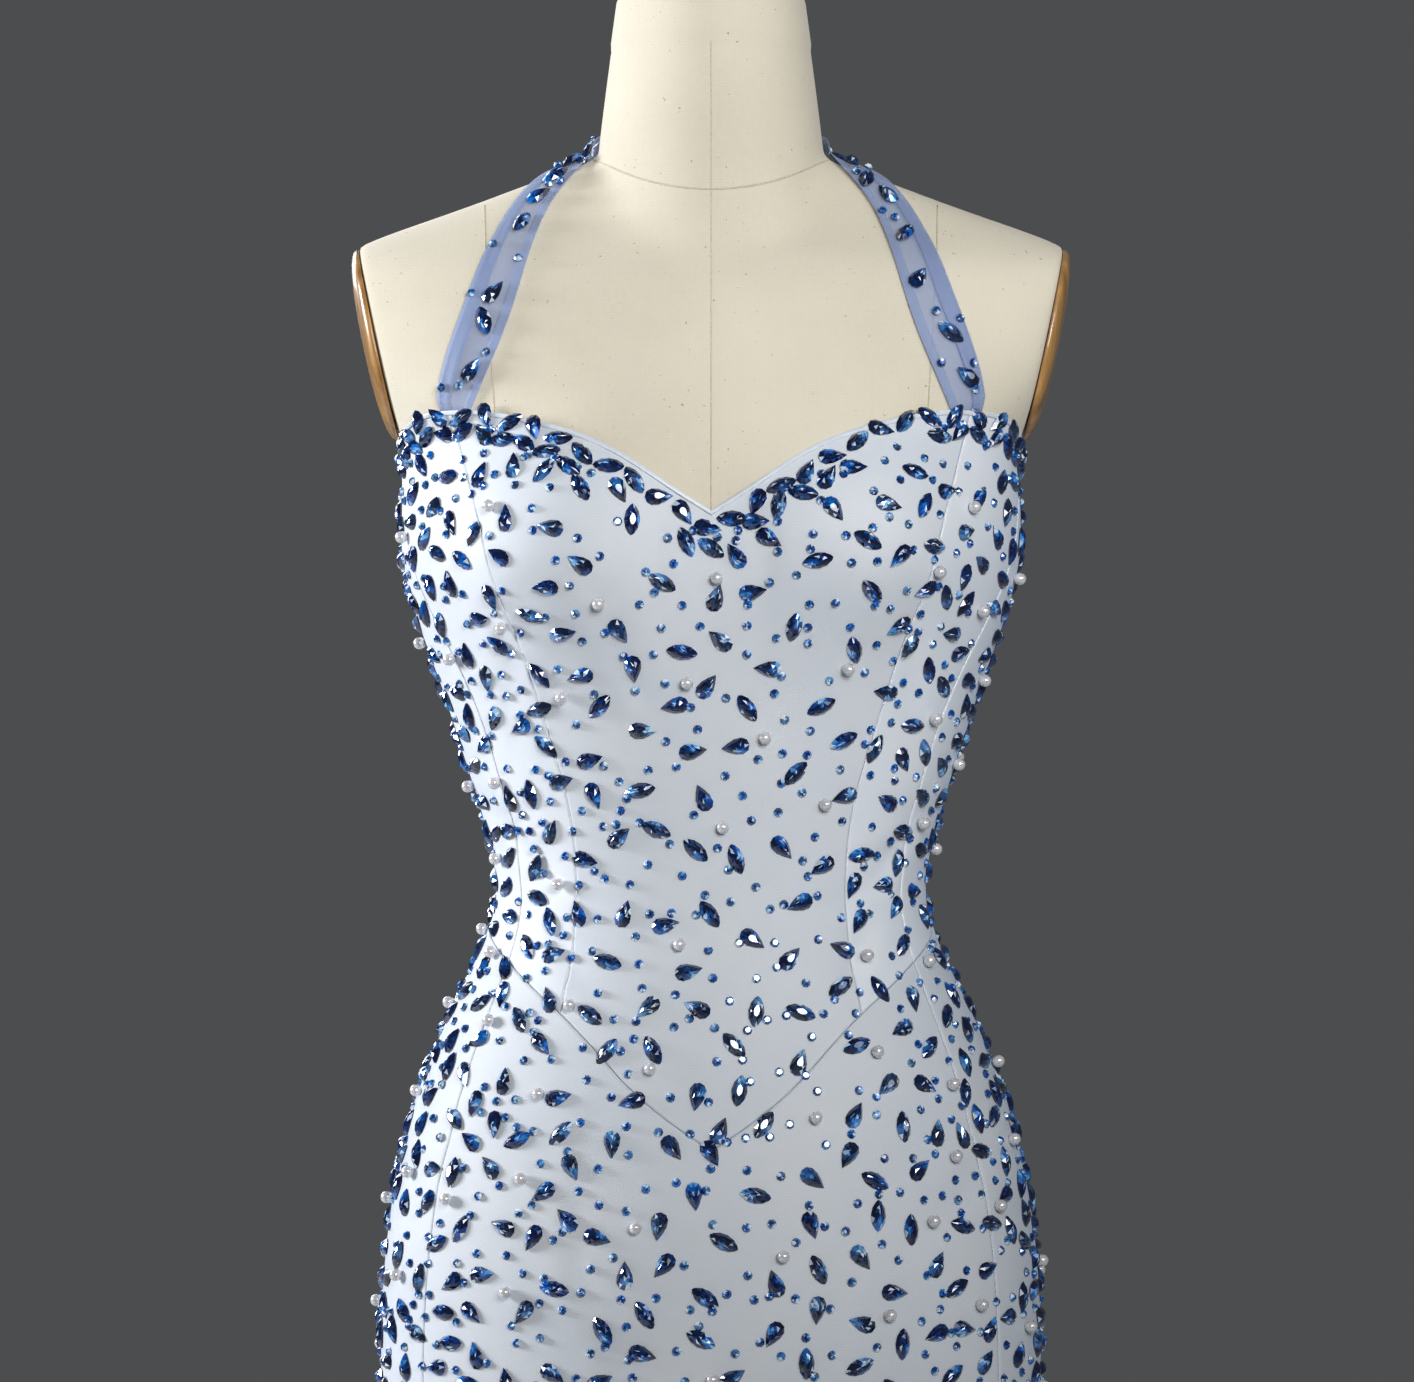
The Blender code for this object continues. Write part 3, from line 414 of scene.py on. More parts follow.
def angle_of(from_centre, height):
    """The angle whose reach times its sine is that distance, halved down to."""
    low, high = np.zeros_like(from_centre), np.full_like(from_centre, math.radians(88))
    for _ in range(40):
        middle = (low + high) / 2
        short = figure_reach(middle, height) * np.sin(middle) < from_centre
        low, high = np.where(short, middle, low), np.where(short, high, middle)
    return (low + high) / 2


def cover_seam(name, angle, height, sizes, ring=False):
    """A rolled seam on the cover, along a line of angles and heights."""
    path = moved_out(angle, height, np.full_like(height, -FORM_INSET))
    line = welt("cover_seam_" + name, path, outward(angle, height), *sizes, seam_linen, ring)


heights = np.linspace(COVER_SEAM_FOOT, 1.541, 90)
cover_seam("front", 0 * heights, heights, COVER_SEAM)
cover_seam("back", math.pi + 0 * heights, heights, COVER_SEAM)
around = np.linspace(-math.pi, math.pi, 160, endpoint=False)
neck_line = NECK_SEAM_HEIGHT - NECK_SEAM_DIP * (0.5 + 0.5 * np.cos(around)) ** 2
cover_seam("neck", around, neck_line, NECK_SEAM, ring=True)
heights = np.linspace(COVER_SEAM_FOOT, 1.4425, 60)
above = (heights - PANEL_SEAM_FROM) / PANEL_SEAM_RISE
panel_line = angle_of(PANEL_SEAM_OUT + above * PANEL_SEAM_GAIN, heights)
cover_seam("left", -panel_line, heights, COVER_SEAM)
cover_seam("right", panel_line, heights, COVER_SEAM)


# The arm plates: turned hardwood ovals, domed and varnished, screwed over the armholes.
WOOD_LIGHT = (0.50, 0.275, 0.09, 1)
WOOD_DARK = (0.23, 0.11, 0.03, 1)
WOOD_GRAIN = (90.0, 90.0, 6.0)
WOOD_PORES = (900.0, 900.0, 40.0)
wood, wood_shader = finish("varnished_wood", Roughness=0.32, Coat_Weight=0.6, Coat_Roughness=0.12)
place = on_object(wood)
grain = noise(wood, mapped(wood, place, WOOD_GRAIN), 1.0, 6.0, 0.62)
pores = noise(wood, mapped(wood, place, WOOD_PORES), 1.0, 3.0)
figured = blended(wood, banded(wood, grain, 0.38, 0.66), WOOD_LIGHT, WOOD_DARK)
specked = blended(wood, banded(wood, pores, 0.62, 0.8), figured, WOOD_DARK)
painted(wood, wood_shader, specked)
raised(wood, wood_shader, pores, 0.0001)
PLATE_MIDDLE = 0.038
PLATE_PROFILE = (
    # distance from the armhole, share of its outline
    (0.0003, 0.000),
    (0.0003, 0.955),
    (0.0006, 0.967),
    (0.0012, 0.970),
    (0.0020, 0.966),
    (0.0030, 0.950),
    (0.0041, 0.915),
    (0.0052, 0.850),
    (0.0062, 0.750),
    (0.0071, 0.600),
    (0.0077, 0.420),
    (0.0080, 0.220),
    (0.0081, 0.000),
)
top, foot = (np.array((x, 0, z)) for x, z in (ARM_PLANE_TOP, ARM_PLANE_FOOT))
up = (top - foot) / np.linalg.norm(top - foot)
turns = np.linspace(0, 2 * math.pi, 96, endpoint=False)[:, None]
lanes = np.cos(turns) * (0, 1, 0) + np.sin(turns) * up
near, far = np.zeros(len(turns)), np.full(len(turns), 0.09)
for _ in range(30):
    half_way = (near + far) / 2
    p = top - up * PLATE_MIDDLE + lanes * half_way[:, None]
    within = np.hypot(p[:, 0], p[:, 1]) < figure_reach(np.arctan2(p[:, 0], -p[:, 1]), p[:, 2])
    near, far = np.where(within, half_way, near), np.where(within, far, half_way)
armhole = top - up * PLATE_MIDDLE + lanes * near[:, None]
hub = armhole.mean(axis=0)
away = np.array((up[2], 0, -up[0]))
turned = np.stack(
    [hub + away * out + (armhole - hub) * max(share, 0.01) for out, share in PLATE_PROFILE]
)
for side, word in ((-1, "left"), (1, "right")):
    grid = turned[:, ::-1] * (-1, 1, 1) if side < 0 else turned
    plate = surface("arm_plate_" + word + "_turned", grid, wood, ring=True, capped=True)
    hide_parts("arm_plate_" + word)


# The gown's cloth: ice-blue satin with a fine diamond net laid over it, cut as one. The tables
# give the lines that it is cut and sewn on, measured on the photo in front and guessed behind.
SATIN = (0.715, 0.75, 0.79, 1)
SATIN_DEEP = (0.65, 0.70, 0.76, 1)
SIDE_SATIN = (0.735, 0.77, 0.82, 1)
SIDE_SATIN_DEEP = (0.675, 0.725, 0.79, 1)
NET_THREAD = (0.37, 0.40, 0.46, 1)
NET_PITCH = 0.0010
NET_SHOWN = 0.50
NET_SHOWN_AT_SIDES = 0.07
NET_TURN = 48
NET_SECOND_SET = 0.92
SATIN_CLOUDS = 14.0
PRINCESS = np.array(
    (
        # height, distance from the centre line as seen from the front
        (1.0400, 0.0730),
        (1.0710, 0.0670),
        (1.1050, 0.0646),
        (1.1420, 0.0680),
        (1.1860, 0.0803),
        (1.2350, 0.0970),
        (1.2840, 0.1116),
        (1.3230, 0.1220),
        (1.3450, 0.1268),
    )
)
WAIST_FRONT = np.array(
    (
        # distance from the centre line, height
        (0.0000, 0.9770),
        (0.0270, 0.9960),
        (0.0435, 1.0110),
        (0.0570, 1.0260),
        (0.0726, 1.0420),
        (0.0865, 1.0545),
        (0.1000, 1.0680),
    )
)
NECKLINE_FRONT = np.array(
    (
        # distance from the centre line, height
        (0.0000, 1.2858),
        (0.0204, 1.2982),
        (0.0388, 1.3101),
        (0.0563, 1.3196),
        (0.0747, 1.3264),
        (0.0946, 1.3319),
        (0.1188, 1.3361),
        (0.1360, 1.3360),
    )
)
# angle in degrees, height
WAIST_BACK = np.array(((90.0, 1.0825), (120.0, 1.0900), (150.0, 1.0940), (180.0, 1.0950)))
TOP_BACK = np.array(((90.0, 1.3100), (115.0, 1.2900), (145.0, 1.2720), (180.0, 1.2650)))
SIDE_SEAM = np.array(
    (
        # height, angle in degrees
        (0.0000, 66.0),
        (0.6000, 65.5),
        (0.9000, 65.0),
        (1.0000, 64.0),
        (1.0700, 62.5),
        (1.1200, 63.5),
        (1.1900, 66.0),
        (1.2500, 74.0),
        (1.3200, 88.0),
    )
)


def edge_table(front, back):
    """Rows of angle and height for an edge that is given from the front and then by angle."""
    fine = np.linspace(0, front[-1, 0], 15)
    heights = spline(front, 1, fine)
    ahead = np.stack([angle_of(fine, heights), heights], axis=1)
    behind = np.stack([np.radians(back[:, 0]), back[:, 1]], axis=1)
    return np.concatenate([ahead, behind])


NECK_EDGE = edge_table(NECKLINE_FRONT, TOP_BACK)
WAIST_EDGE = edge_table(WAIST_FRONT, WAIST_BACK)
PRINCESS_SEAM = np.stack([PRINCESS[:, 0], angle_of(PRINCESS[:, 1], PRINCESS[:, 0])], axis=1)
SIDE_SEAM_LINE = np.stack([SIDE_SEAM[:, 0], np.radians(SIDE_SEAM[:, 1])], axis=1)


def top_height(angle):
    """The height of the gown's top edge."""
    return spline(NECK_EDGE, 1, np.abs(angle))


def waist_height(angle):
    """The height of the seam between bodice and skirt."""
    return spline(WAIST_EDGE, 1, np.abs(angle))


def meeting(seam, edge_height):
    """The height at which a seam meets an edge, closed in on by halves."""
    height = seam[len(seam) // 2, 0]
    for _ in range(60):
        height += 0.5 * (float(edge_height(spline(seam, 1, height))) - height)
    return height


PRINCESS_TOP = meeting(PRINCESS_SEAM[3:], top_height)
PRINCESS_FOOT = meeting(PRINCESS_SEAM, waist_height)
SIDE_TOP = meeting(SIDE_SEAM_LINE[4:], top_height)
SIDE_WAIST = meeting(SIDE_SEAM_LINE, waist_height)


def net_lines(material, laid, pitch, turn, second_set):
    """Two sets of even bands on the cloth, crossing at right angles and turned off its length: the
    larger of the two at each place, the second at a share of its height."""
    bias = mapped(material, laid, [1 / pitch] * 3, turn)
    fainter = worked(material, "MULTIPLY", bands(material, bias, 1, "Y"), second_set)
    return worked(material, "MAXIMUM", bands(material, bias, 1, "X"), fainter)


def satin_under_net(name, deep, light, shown):
    """Satin with the net's threads mixed over it, by the share of them that shows."""
    satin, shader = finish(name, Roughness=0.55, Sheen_Weight=0.35, Sheen_Tint=(0.45, 0.65, 1.0, 1))
    shader.inputs["Specular IOR Level"].default_value = 0.3
    laid = node(satin, "UVMap", {}, uv_map="cloth").outputs["UV"]
    threads = net_lines(satin, laid, NET_PITCH, NET_TURN, NET_SECOND_SET)
    meshes = banded(satin, threads, 0.55, 1.0)
    clouds = banded(satin, noise(satin, laid, SATIN_CLOUDS, 3.0), 0.3, 0.7)
    ground = blended(satin, clouds, deep, light)
    faint = worked(satin, "MULTIPLY", meshes, shown)
    painted(satin, shader, blended(satin, faint, ground, NET_THREAD))
    raised(satin, shader, meshes, 0.00010, 0.7 * shown)
    return satin


netted_satin = satin_under_net("satin_under_net", SATIN_DEEP, SATIN, NET_SHOWN)
side_satin = satin_under_net("side_satin", SIDE_SATIN_DEEP, SIDE_SATIN, NET_SHOWN_AT_SIDES)


# The bodice: a centre front with a pointed foot, two side fronts, and two backs that meet at the
# centre back. Each cut is a thin wall over the figure, drawn in at its seams, with drag lines.
CLOTH = 0.0012
BODICE_OUT = 0.0027
SEAM_DEPTH = 0.0005
SEAM_HALF_WIDTH = 0.0007
SEAM_PUCKER = 0.00006
SEAM_PUCKER_REACH = 0.006
SEAM_BEAD = 0.00012
SEAM_BEAD_AWAY = 0.0015
SEAM_BEAD_HALF_WIDTH = 0.0006
BACK_SEAM_GAP = 0.0012
DRAG_LINES = np.array(
    (
        # angle in degrees, height, lean in degrees, half length, depth
        (50.0, 1.105, 62.0, 0.030, 0.0011),
        (58.0, 1.122, 70.0, 0.026, 0.0009),
        (44.0, 1.070, 48.0, 0.034, 0.0008),
        (70.0, 1.140, 80.0, 0.030, 0.0008),
        (24.0, 1.215, 22.0, 0.040, 0.0007),
        (50.0, 1.222, -28.0, 0.038, 0.0008),
        (14.0, 1.262, -6.0, 0.026, 0.0007),
        (80.0, 1.000, 58.0, 0.050, 0.0010),
        (60.0, 0.960, 40.0, 0.060, 0.0008),
        (98.0, 1.130, 78.0, 0.040, 0.0009),
        (140.0, 1.115, 84.0, 0.040, 0.0008),
        (150.0, 1.040, 70.0, 0.060, 0.0009),
        (30.0, 0.905, 18.0, 0.070, 0.0006),
        (120.0, 0.900, -20.0, 0.090, 0.0009),
    )
)
DRAG_FROM_AXIS = 0.13
DRAG_SHIFT = 0.003
DRAG_BOW = 4
DRAG_UNEVEN = 0.35
DRAG_TROUGH = 0.007
DRAG_RIDGE = 0.008
DRAG_RIDGE_AWAY = 0.011


def drag(angle, height):
    """The sum of soft troughs, each a Gaussian across its line and along it, a little uneven, with
    a ridge half as high beside it."""
    sunk = np.zeros_like(angle)
    for side in (-1, 1):
        for row, (at, level, lean, half, depth) in enumerate(DRAG_LINES):
            beside = side * (angle - side * math.radians(at)) * DRAG_FROM_AXIS
            above = height - level - side * DRAG_SHIFT * math.sin(3 * row)
            turn = math.radians(lean)
            along = beside * math.sin(turn) + above * math.cos(turn)
            across = beside * math.cos(turn) - above * math.sin(turn) + DRAG_BOW * along**2
            uneven = 1 + DRAG_UNEVEN * np.sin(90 * along + row)
            trough = (across / DRAG_TROUGH) ** 2
            ridge = ((across - DRAG_RIDGE_AWAY) / DRAG_RIDGE) ** 2
            sunk += depth * uneven * np.exp(-trough - (along / half) ** 2)
            sunk -= 0.5 * depth * np.exp(-ridge - (along / half) ** 2)
    return sunk


def laid_flat(angle, height):
    """Where points of a cut lie on its cloth laid flat: the arc from the cut's middle line at
    each point's own height, and the arc up the middle line."""
    middle = (angle.min() + angle.max()) / 2
    turns = middle + (angle - middle)[..., None] * np.linspace(0, 1, 13)
    line = on_figure(turns, height[..., None] + 0 * turns)
    across = np.linalg.norm(np.diff(line, axis=-2), axis=-1).sum(axis=-1)
    levels = np.linspace(height.min(), height.max(), 300)
    climb = np.linalg.norm(np.diff(on_figure(np.full_like(levels, middle), levels), axis=0), axis=1)
    climbed = np.concatenate([[0], np.cumsum(climb)])
    return np.stack([np.sign(angle - middle) * across, np.interp(height, levels, climbed)], axis=-1)


def stations(count, length, seam_at_start=True, seam_at_end=True):
    """Places from 0 to 1 along a length: even ones, with close ones at each end that is a seam."""
    close = np.array((0.0, 0.0006, 0.0012, 0.0020, 0.0034)) / length
    start = close if seam_at_start else np.zeros(1)
    end = 1 - close[::-1] if seam_at_end else np.ones(1)
    between = np.linspace(start[-1], end[0], count)[1:-1]
    return np.concatenate([start, between, end])


def cut_of_cloth(name, left, right, foot, top, u, v, out, seams, satin):
    """A cut of cloth between four edges of angle and height, a Coons patch: what lies between
    left and right, plus what lies between foot and top, less what lies between the corners.
    seams says which of its left, right, foot and top edges is drawn in by a seam."""
    u, v = u[None, :, None], v[:, None, None]
    sides = (1 - u) * left[:, None] + u * right[:, None]
    ends = (1 - v) * foot[None] + v * top[None]
    low = (1 - u) * foot[0] + u * foot[-1]
    high = (1 - u) * top[0] + u * top[-1]
    flat = sides + ends - (1 - v) * low - v * high
    angle, height = flat[..., 0], flat[..., 1]
    bare = on_figure(angle, height)
    across, climb = np.diff(bare, axis=1), np.diff(bare, axis=0)
    wide, tall = np.linalg.norm(across, axis=2), np.linalg.norm(climb, axis=2)
    from_left = np.concatenate([np.zeros((len(bare), 1)), np.cumsum(wide, axis=1)], axis=1)
    from_foot = np.concatenate([np.zeros((1, bare.shape[1])), np.cumsum(tall, axis=0)])
    away = (from_left, from_left[:, -1:] - from_left, from_foot, from_foot[-1:] - from_foot)
    drawn_in = np.zeros_like(angle)
    for distance, sewn in zip(away, seams):
        if sewn:
            roll = np.exp(-((distance / SEAM_HALF_WIDTH) ** 2))
            ripple = np.sin(430 * from_foot + 370 * from_left)
            pucker = SEAM_PUCKER * ripple * np.exp(-distance / SEAM_PUCKER_REACH)
            beside = (distance - SEAM_BEAD_AWAY) / SEAM_BEAD_HALF_WIDTH
            bead = SEAM_BEAD * np.exp(-(beside**2))
            drawn_in = np.maximum(drawn_in, SEAM_DEPTH * roll) - bead + pucker
    points = moved_out(angle, height, out - drawn_in - drag(angle, height))
    piece = surface(name + "_cloth", points, satin, uv=laid_flat(angle, height))
    wall = piece.modifiers.new("cloth", "SOLIDIFY")
    wall.thickness = CLOTH
    wall.offset = -1
    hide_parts(name)
    size = (float(from_left[:, -1].max()), float(from_foot[-1].max()))
    area = np.linalg.norm(np.cross(across[:-1], climb[:, :-1]), axis=2).sum()
    CUTS.append((piece, size, float(area)))


CUTS = []
BACK_SEAM = math.pi - BACK_SEAM_GAP
bodice_rows = stations(118, 0.26)


def seam_points(seam, start, end, side, share):
    """Points of a seam from one height to another, on one side of the figure."""
    heights = start + (end - start) * share
    return np.stack([side * spline(seam, 1, heights), heights], axis=1)


def edge_points(edge_height, start, end, share):
    """Points of an edge from one angle to another."""
    angles = start + (end - start) * share
    return np.stack([angles, edge_height(angles)], axis=1)


def back_points(start, end, side, share):
    """Points of the centre-back line."""
    heights = start + (end - start) * share
    return np.stack([np.full_like(heights, side * BACK_SEAM), heights], axis=1)


princess_top_angle = float(spline(PRINCESS_SEAM, 1, PRINCESS_TOP))
princess_foot_angle = float(spline(PRINCESS_SEAM, 1, PRINCESS_FOOT))
side_top_angle = float(spline(SIDE_SEAM_LINE, 1, SIDE_TOP))
side_waist_angle = float(spline(SIDE_SEAM_LINE, 1, SIDE_WAIST))
back_top = float(top_height(np.array(BACK_SEAM)))
back_waist = float(waist_height(np.array(BACK_SEAM)))

columns = stations(108, 0.19)
cut_of_cloth(
    "bodice_front",
    seam_points(PRINCESS_SEAM, PRINCESS_FOOT, PRINCESS_TOP, -1, bodice_rows),
    seam_points(PRINCESS_SEAM, PRINCESS_FOOT, PRINCESS_TOP, 1, bodice_rows),
    edge_points(waist_height, -princess_foot_angle, princess_foot_angle, columns),
    edge_points(top_height, -princess_top_angle, princess_top_angle, columns),
    columns,
    bodice_rows,
    BODICE_OUT,
    (True, True, True, False),
    netted_satin,
)
for side, word in ((-1, "left"), (1, "right")):
    princess = seam_points(PRINCESS_SEAM, PRINCESS_FOOT, PRINCESS_TOP, side, bodice_rows)
    flank = seam_points(SIDE_SEAM_LINE, SIDE_WAIST, SIDE_TOP, side, bodice_rows)
    middle_back = back_points(back_waist, back_top, side, bodice_rows)
    columns = stations(30, 0.055)
    foot_edge = edge_points(
        waist_height, side * princess_foot_angle, side * side_waist_angle, columns
    )
    top_edge = edge_points(top_height, side * princess_top_angle, side * side_top_angle, columns)
    left_first = slice(None, None, side)
    edges = (princess, flank)[left_first] + (foot_edge[left_first], top_edge[left_first])
    sewn = (True, True, True, False)
    cut_of_cloth("bodice_side_" + word, *edges, columns, bodice_rows, BODICE_OUT, sewn, side_satin)
    columns = stations(62, 0.16)
    foot_edge = edge_points(waist_height, side * side_waist_angle, side * BACK_SEAM, columns)
    top_edge = edge_points(top_height, side * side_top_angle, side * BACK_SEAM, columns)
    edges = (flank, middle_back)[left_first] + (foot_edge[left_first], top_edge[left_first])
    cut_of_cloth("bodice_back_" + word, *edges, columns, bodice_rows, BODICE_OUT, sewn, side_satin)

# The skirt: a front gore and two back gores, close to the knee and fluted below it, with the hem
# level just above the floor.
SKIRT_OUT = 0.0031
HEM_HEIGHT = 0.0125


def hem_height(angle):
    """The hem's height, the same all round."""
    return np.full_like(angle, HEM_HEIGHT)


side_hem_angle = float(spline(SIDE_SEAM_LINE, 1, HEM_HEIGHT))
skirt_rows = stations(200, 1.07, seam_at_start=False)
columns = stations(86, 0.33)
cut_of_cloth(
    "skirt_front",
    seam_points(SIDE_SEAM_LINE, HEM_HEIGHT, SIDE_WAIST, -1, skirt_rows),
    seam_points(SIDE_SEAM_LINE, HEM_HEIGHT, SIDE_WAIST, 1, skirt_rows),
    edge_points(hem_height, -side_hem_angle, side_hem_angle, columns),
    edge_points(waist_height, -side_waist_angle, side_waist_angle, columns),
    columns,
    skirt_rows,
    SKIRT_OUT,
    (True, True, False, True),
    netted_satin,
)
for side, word in ((-1, "left"), (1, "right")):
    flank = seam_points(SIDE_SEAM_LINE, HEM_HEIGHT, SIDE_WAIST, side, skirt_rows)
    middle_back = back_points(HEM_HEIGHT, back_waist, side, skirt_rows)
    columns = stations(72, 0.28)
    foot_edge = edge_points(hem_height, side * side_hem_angle, side * BACK_SEAM, columns)
    top_edge = edge_points(waist_height, side * side_waist_angle, side * BACK_SEAM, columns)
    left_first = slice(None, None, side)
    edges = (flank, middle_back)[left_first] + (foot_edge[left_first], top_edge[left_first])
    sewn = (True, True, False, True)
    cut_of_cloth("skirt_back_" + word, *edges, columns, skirt_rows, SKIRT_OUT, sewn, netted_satin)


# The binding: a narrow bias strip of the plain satin folded over the whole top edge, in one roll
# from the centre back round to the centre back, a little uneven in its thickness.
BINDING_LIFT = 0.0003
BINDING_TALL = 0.0023
BINDING_THICK = 0.0009
BINDING_TOP = 0.0012
BINDING_CORNER = 0.6
BINDING_SIDES = 14
BINDING_STEPS = 260
PLAIN_SATIN = (0.63, 0.68, 0.75, 1)
PLAIN_SATIN_DEEP = (0.55, 0.62, 0.71, 1)
PLAIN_SATIN_FLOATS = 420.0
plain, plain_shader = finish("plain_satin", Roughness=0.36, Sheen_Weight=0.3)
floats = noise(plain, on_object(plain), PLAIN_SATIN_FLOATS, 3.0)
shade = blended(plain, banded(plain, floats, 0.35, 0.65), PLAIN_SATIN_DEEP, PLAIN_SATIN)
painted(plain, plain_shader, shade)
raised(plain, plain_shader, floats, 0.0002, 0.5)
half_round = np.linspace(-BACK_SEAM, 0, BINDING_STEPS)
around = np.concatenate([half_round, np.linspace(0, BACK_SEAM, BINDING_STEPS)[1:]])
turn = np.linspace(0, 2 * math.pi, BINDING_SIDES, endpoint=False)[:, None]
rolled = 1 + 0.05 * np.sin(140 * around) + 0.04 * np.sin(57 * around)
tall = BINDING_TALL / 2 * np.sign(np.sin(turn)) * np.abs(np.sin(turn)) ** BINDING_CORNER
thick = BINDING_THICK / 2 * np.sign(np.cos(turn)) * np.abs(np.cos(turn)) ** BINDING_CORNER * rolled
band = moved_out(
    around + 0 * turn,
    top_height(around) - BINDING_TALL / 2 + BINDING_TOP + tall,
    BODICE_OUT + BINDING_LIFT + thick,
).transpose(1, 0, 2)
binding = surface("top_binding_roll", band[:, ::-1], plain, ring=True, capped=True)
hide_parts("top_binding")


# The halter straps: each a length of blue net folded in three at its outer edge and turned in at
# its inner edge, taut from the neckline's peak over the shoulder to the nape.
STRAP = np.array(
    (
        # x, y, height, width, lift
        (0.1250, -0.0680, 1.3400, 0.0206, 0.0012),
        (0.1180, -0.0700, 1.3635, 0.0244, 0.0008),
        (0.1050, -0.0625, 1.4000, 0.0236, 0.0010),
        (0.0927, -0.0330, 1.4344, 0.0200, 0.0014),
        (0.0790, -0.0135, 1.4530, 0.0176, 0.0018),
        (0.0665, 0.0000, 1.4640, 0.0166, 0.0020),
        (0.0545, 0.0260, 1.4715, 0.0164, 0.0018),
        (0.0350, 0.0545, 1.4750, 0.0162, 0.0016),
        (0.0000, 0.0680, 1.4765, 0.0160, 0.0016),
    )
)
STRAP_FOLDS = np.array(
    (
        # share of the unfolded width, place across the strap from its inner edge, layer
        (0.00, 0.30, 1.0),
        (0.10, 0.49, 1.0),
        (0.13, 0.50, 0.5),
        (0.16, 0.49, 0.0),
        (0.56, -0.49, 0.0),
        (0.59, -0.50, 0.5),
        (0.62, -0.49, 1.0),
        (0.78, -0.16, 1.0),
        (0.81, -0.15, 1.5),
        (0.84, -0.16, 2.0),
        (1.00, -0.47, 2.0),
    )
)
STRAP_LAYER = 0.00035
STRAP_RIPPLE = 0.00022
STRAP_FLAT_WIDTH = 0.042
STRAP_NET = (0.26, 0.36, 0.64, 1)
STRAP_THREAD = (0.42, 0.52, 0.78, 1)
STRAP_ALPHA = 0.34
STRAP_NET_PITCH = 0.0009
STRAP_NET_TURN = 45
STRAP_WALL = 0.00012
STRAP_CLEAR = 0.0003
STRAP_FOOT_BELOW = 0.001
STRAP_FOOT_OUT = 0.0015
STRAP_FROM_NAPE = 0.0004


def seated(points, gap):
    """Points brought to a gap from the figure: Newton's steps along the slope of the level
    'distance from the axis less the figure's reach'."""

    def level(p):
        angle = np.arctan2(p[..., 0], -p[..., 1])
        return np.hypot(p[..., 0], p[..., 1]) - figure_reach(angle, p[..., 2])

    points = np.array(points, float)
    small = 5e-4
    for _ in range(10):
        steps = small * np.eye(3)
        rises = [level(points + step) - level(points - step) for step in steps]
        slope = np.stack(rises, axis=-1) / (2 * small)
        steep = np.linalg.norm(slope, axis=-1)
        points -= ((level(points) / steep - gap) / steep)[..., None] * slope
    return points, slope / steep[..., None]


halter, halter_shader = finish(
    "blue_net", Base_Color=STRAP_NET, Roughness=0.55, Alpha=STRAP_ALPHA, Sheen_Weight=0.3
)
halter.surface_render_method = "BLENDED"
on_net = node(halter, "UVMap", {}, uv_map="cloth").outputs["UV"]
net = net_lines(halter, on_net, STRAP_NET_PITCH, STRAP_NET_TURN, 1.0)
threads = blended(halter, banded(halter, net, 0.5, 1.0), STRAP_NET, STRAP_THREAD)
painted(halter, halter_shader, threads)
raised(halter, halter_shader, net, 0.0001, 0.5)

share = np.linspace(0, 1, len(STRAP))
rows = np.concatenate([share[:, None], STRAP], axis=1)
along = np.linspace(0, 1, 150)
strap_width, strap_lift = spline(rows, 4, along), spline(rows, 5, along)
strap_line = np.stack([spline(rows, i, along) for i in (1, 2, 3)], axis=1)
strap_middle, strap_normal = seated(strap_line, strap_lift)
strap_ahead = np.gradient(strap_middle, axis=0)
strap_across = np.cross(strap_normal, strap_ahead)
strap_across /= np.linalg.norm(strap_across, axis=1, keepdims=True)
strap_length = float(np.linalg.norm(np.diff(strap_middle, axis=0), axis=1).sum())
folds = STRAP_FOLDS[:, 0]
unfolded = np.interp(np.arange(4 * len(folds) - 3) / 4, np.arange(len(folds)), folds)
lane = np.interp(unfolded, folds, STRAP_FOLDS[:, 1])
layer = np.interp(unfolded, folds, STRAP_FOLDS[:, 2])
ripple = np.sin(26 * along[:, None] + 9 * lane) + np.sin(24 * lane + 3 * along[:, None])
aside = (strap_width[:, None] * lane)[..., None]
strap_rise = strap_lift[:, None] + STRAP_CLEAR + layer * STRAP_LAYER + STRAP_RIPPLE * ripple
strap_points, _ = seated(strap_middle[:, None] + strap_across[:, None] * aside, strap_rise)
foot_angle = np.arctan2(strap_points[0, :, 0], -strap_points[0, :, 1])
foot_height = top_height(foot_angle) - STRAP_FOOT_BELOW
strap_points[0] = moved_out(foot_angle, foot_height, STRAP_FOOT_OUT + layer * STRAP_LAYER)
strap_points[-1, :, 0] = STRAP_FROM_NAPE
strap_uv = np.stack(np.meshgrid(unfolded * STRAP_FLAT_WIDTH, along * strap_length), axis=-1)
STRAPS = []
for side, word in ((-1, "left"), (1, "right")):
    lanes = slice(None, None, -side)
    grid = strap_points[:, lanes] * (side, 1, 1)
    strap = surface("halter_" + word + "_net", grid, halter, uv=strap_uv[:, lanes])
    wall = strap.modifiers.new("net", "SOLIDIFY")
    wall.thickness = STRAP_WALL
    wall.offset = 0
    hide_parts("halter_strap_" + word)
    STRAPS.append(strap)


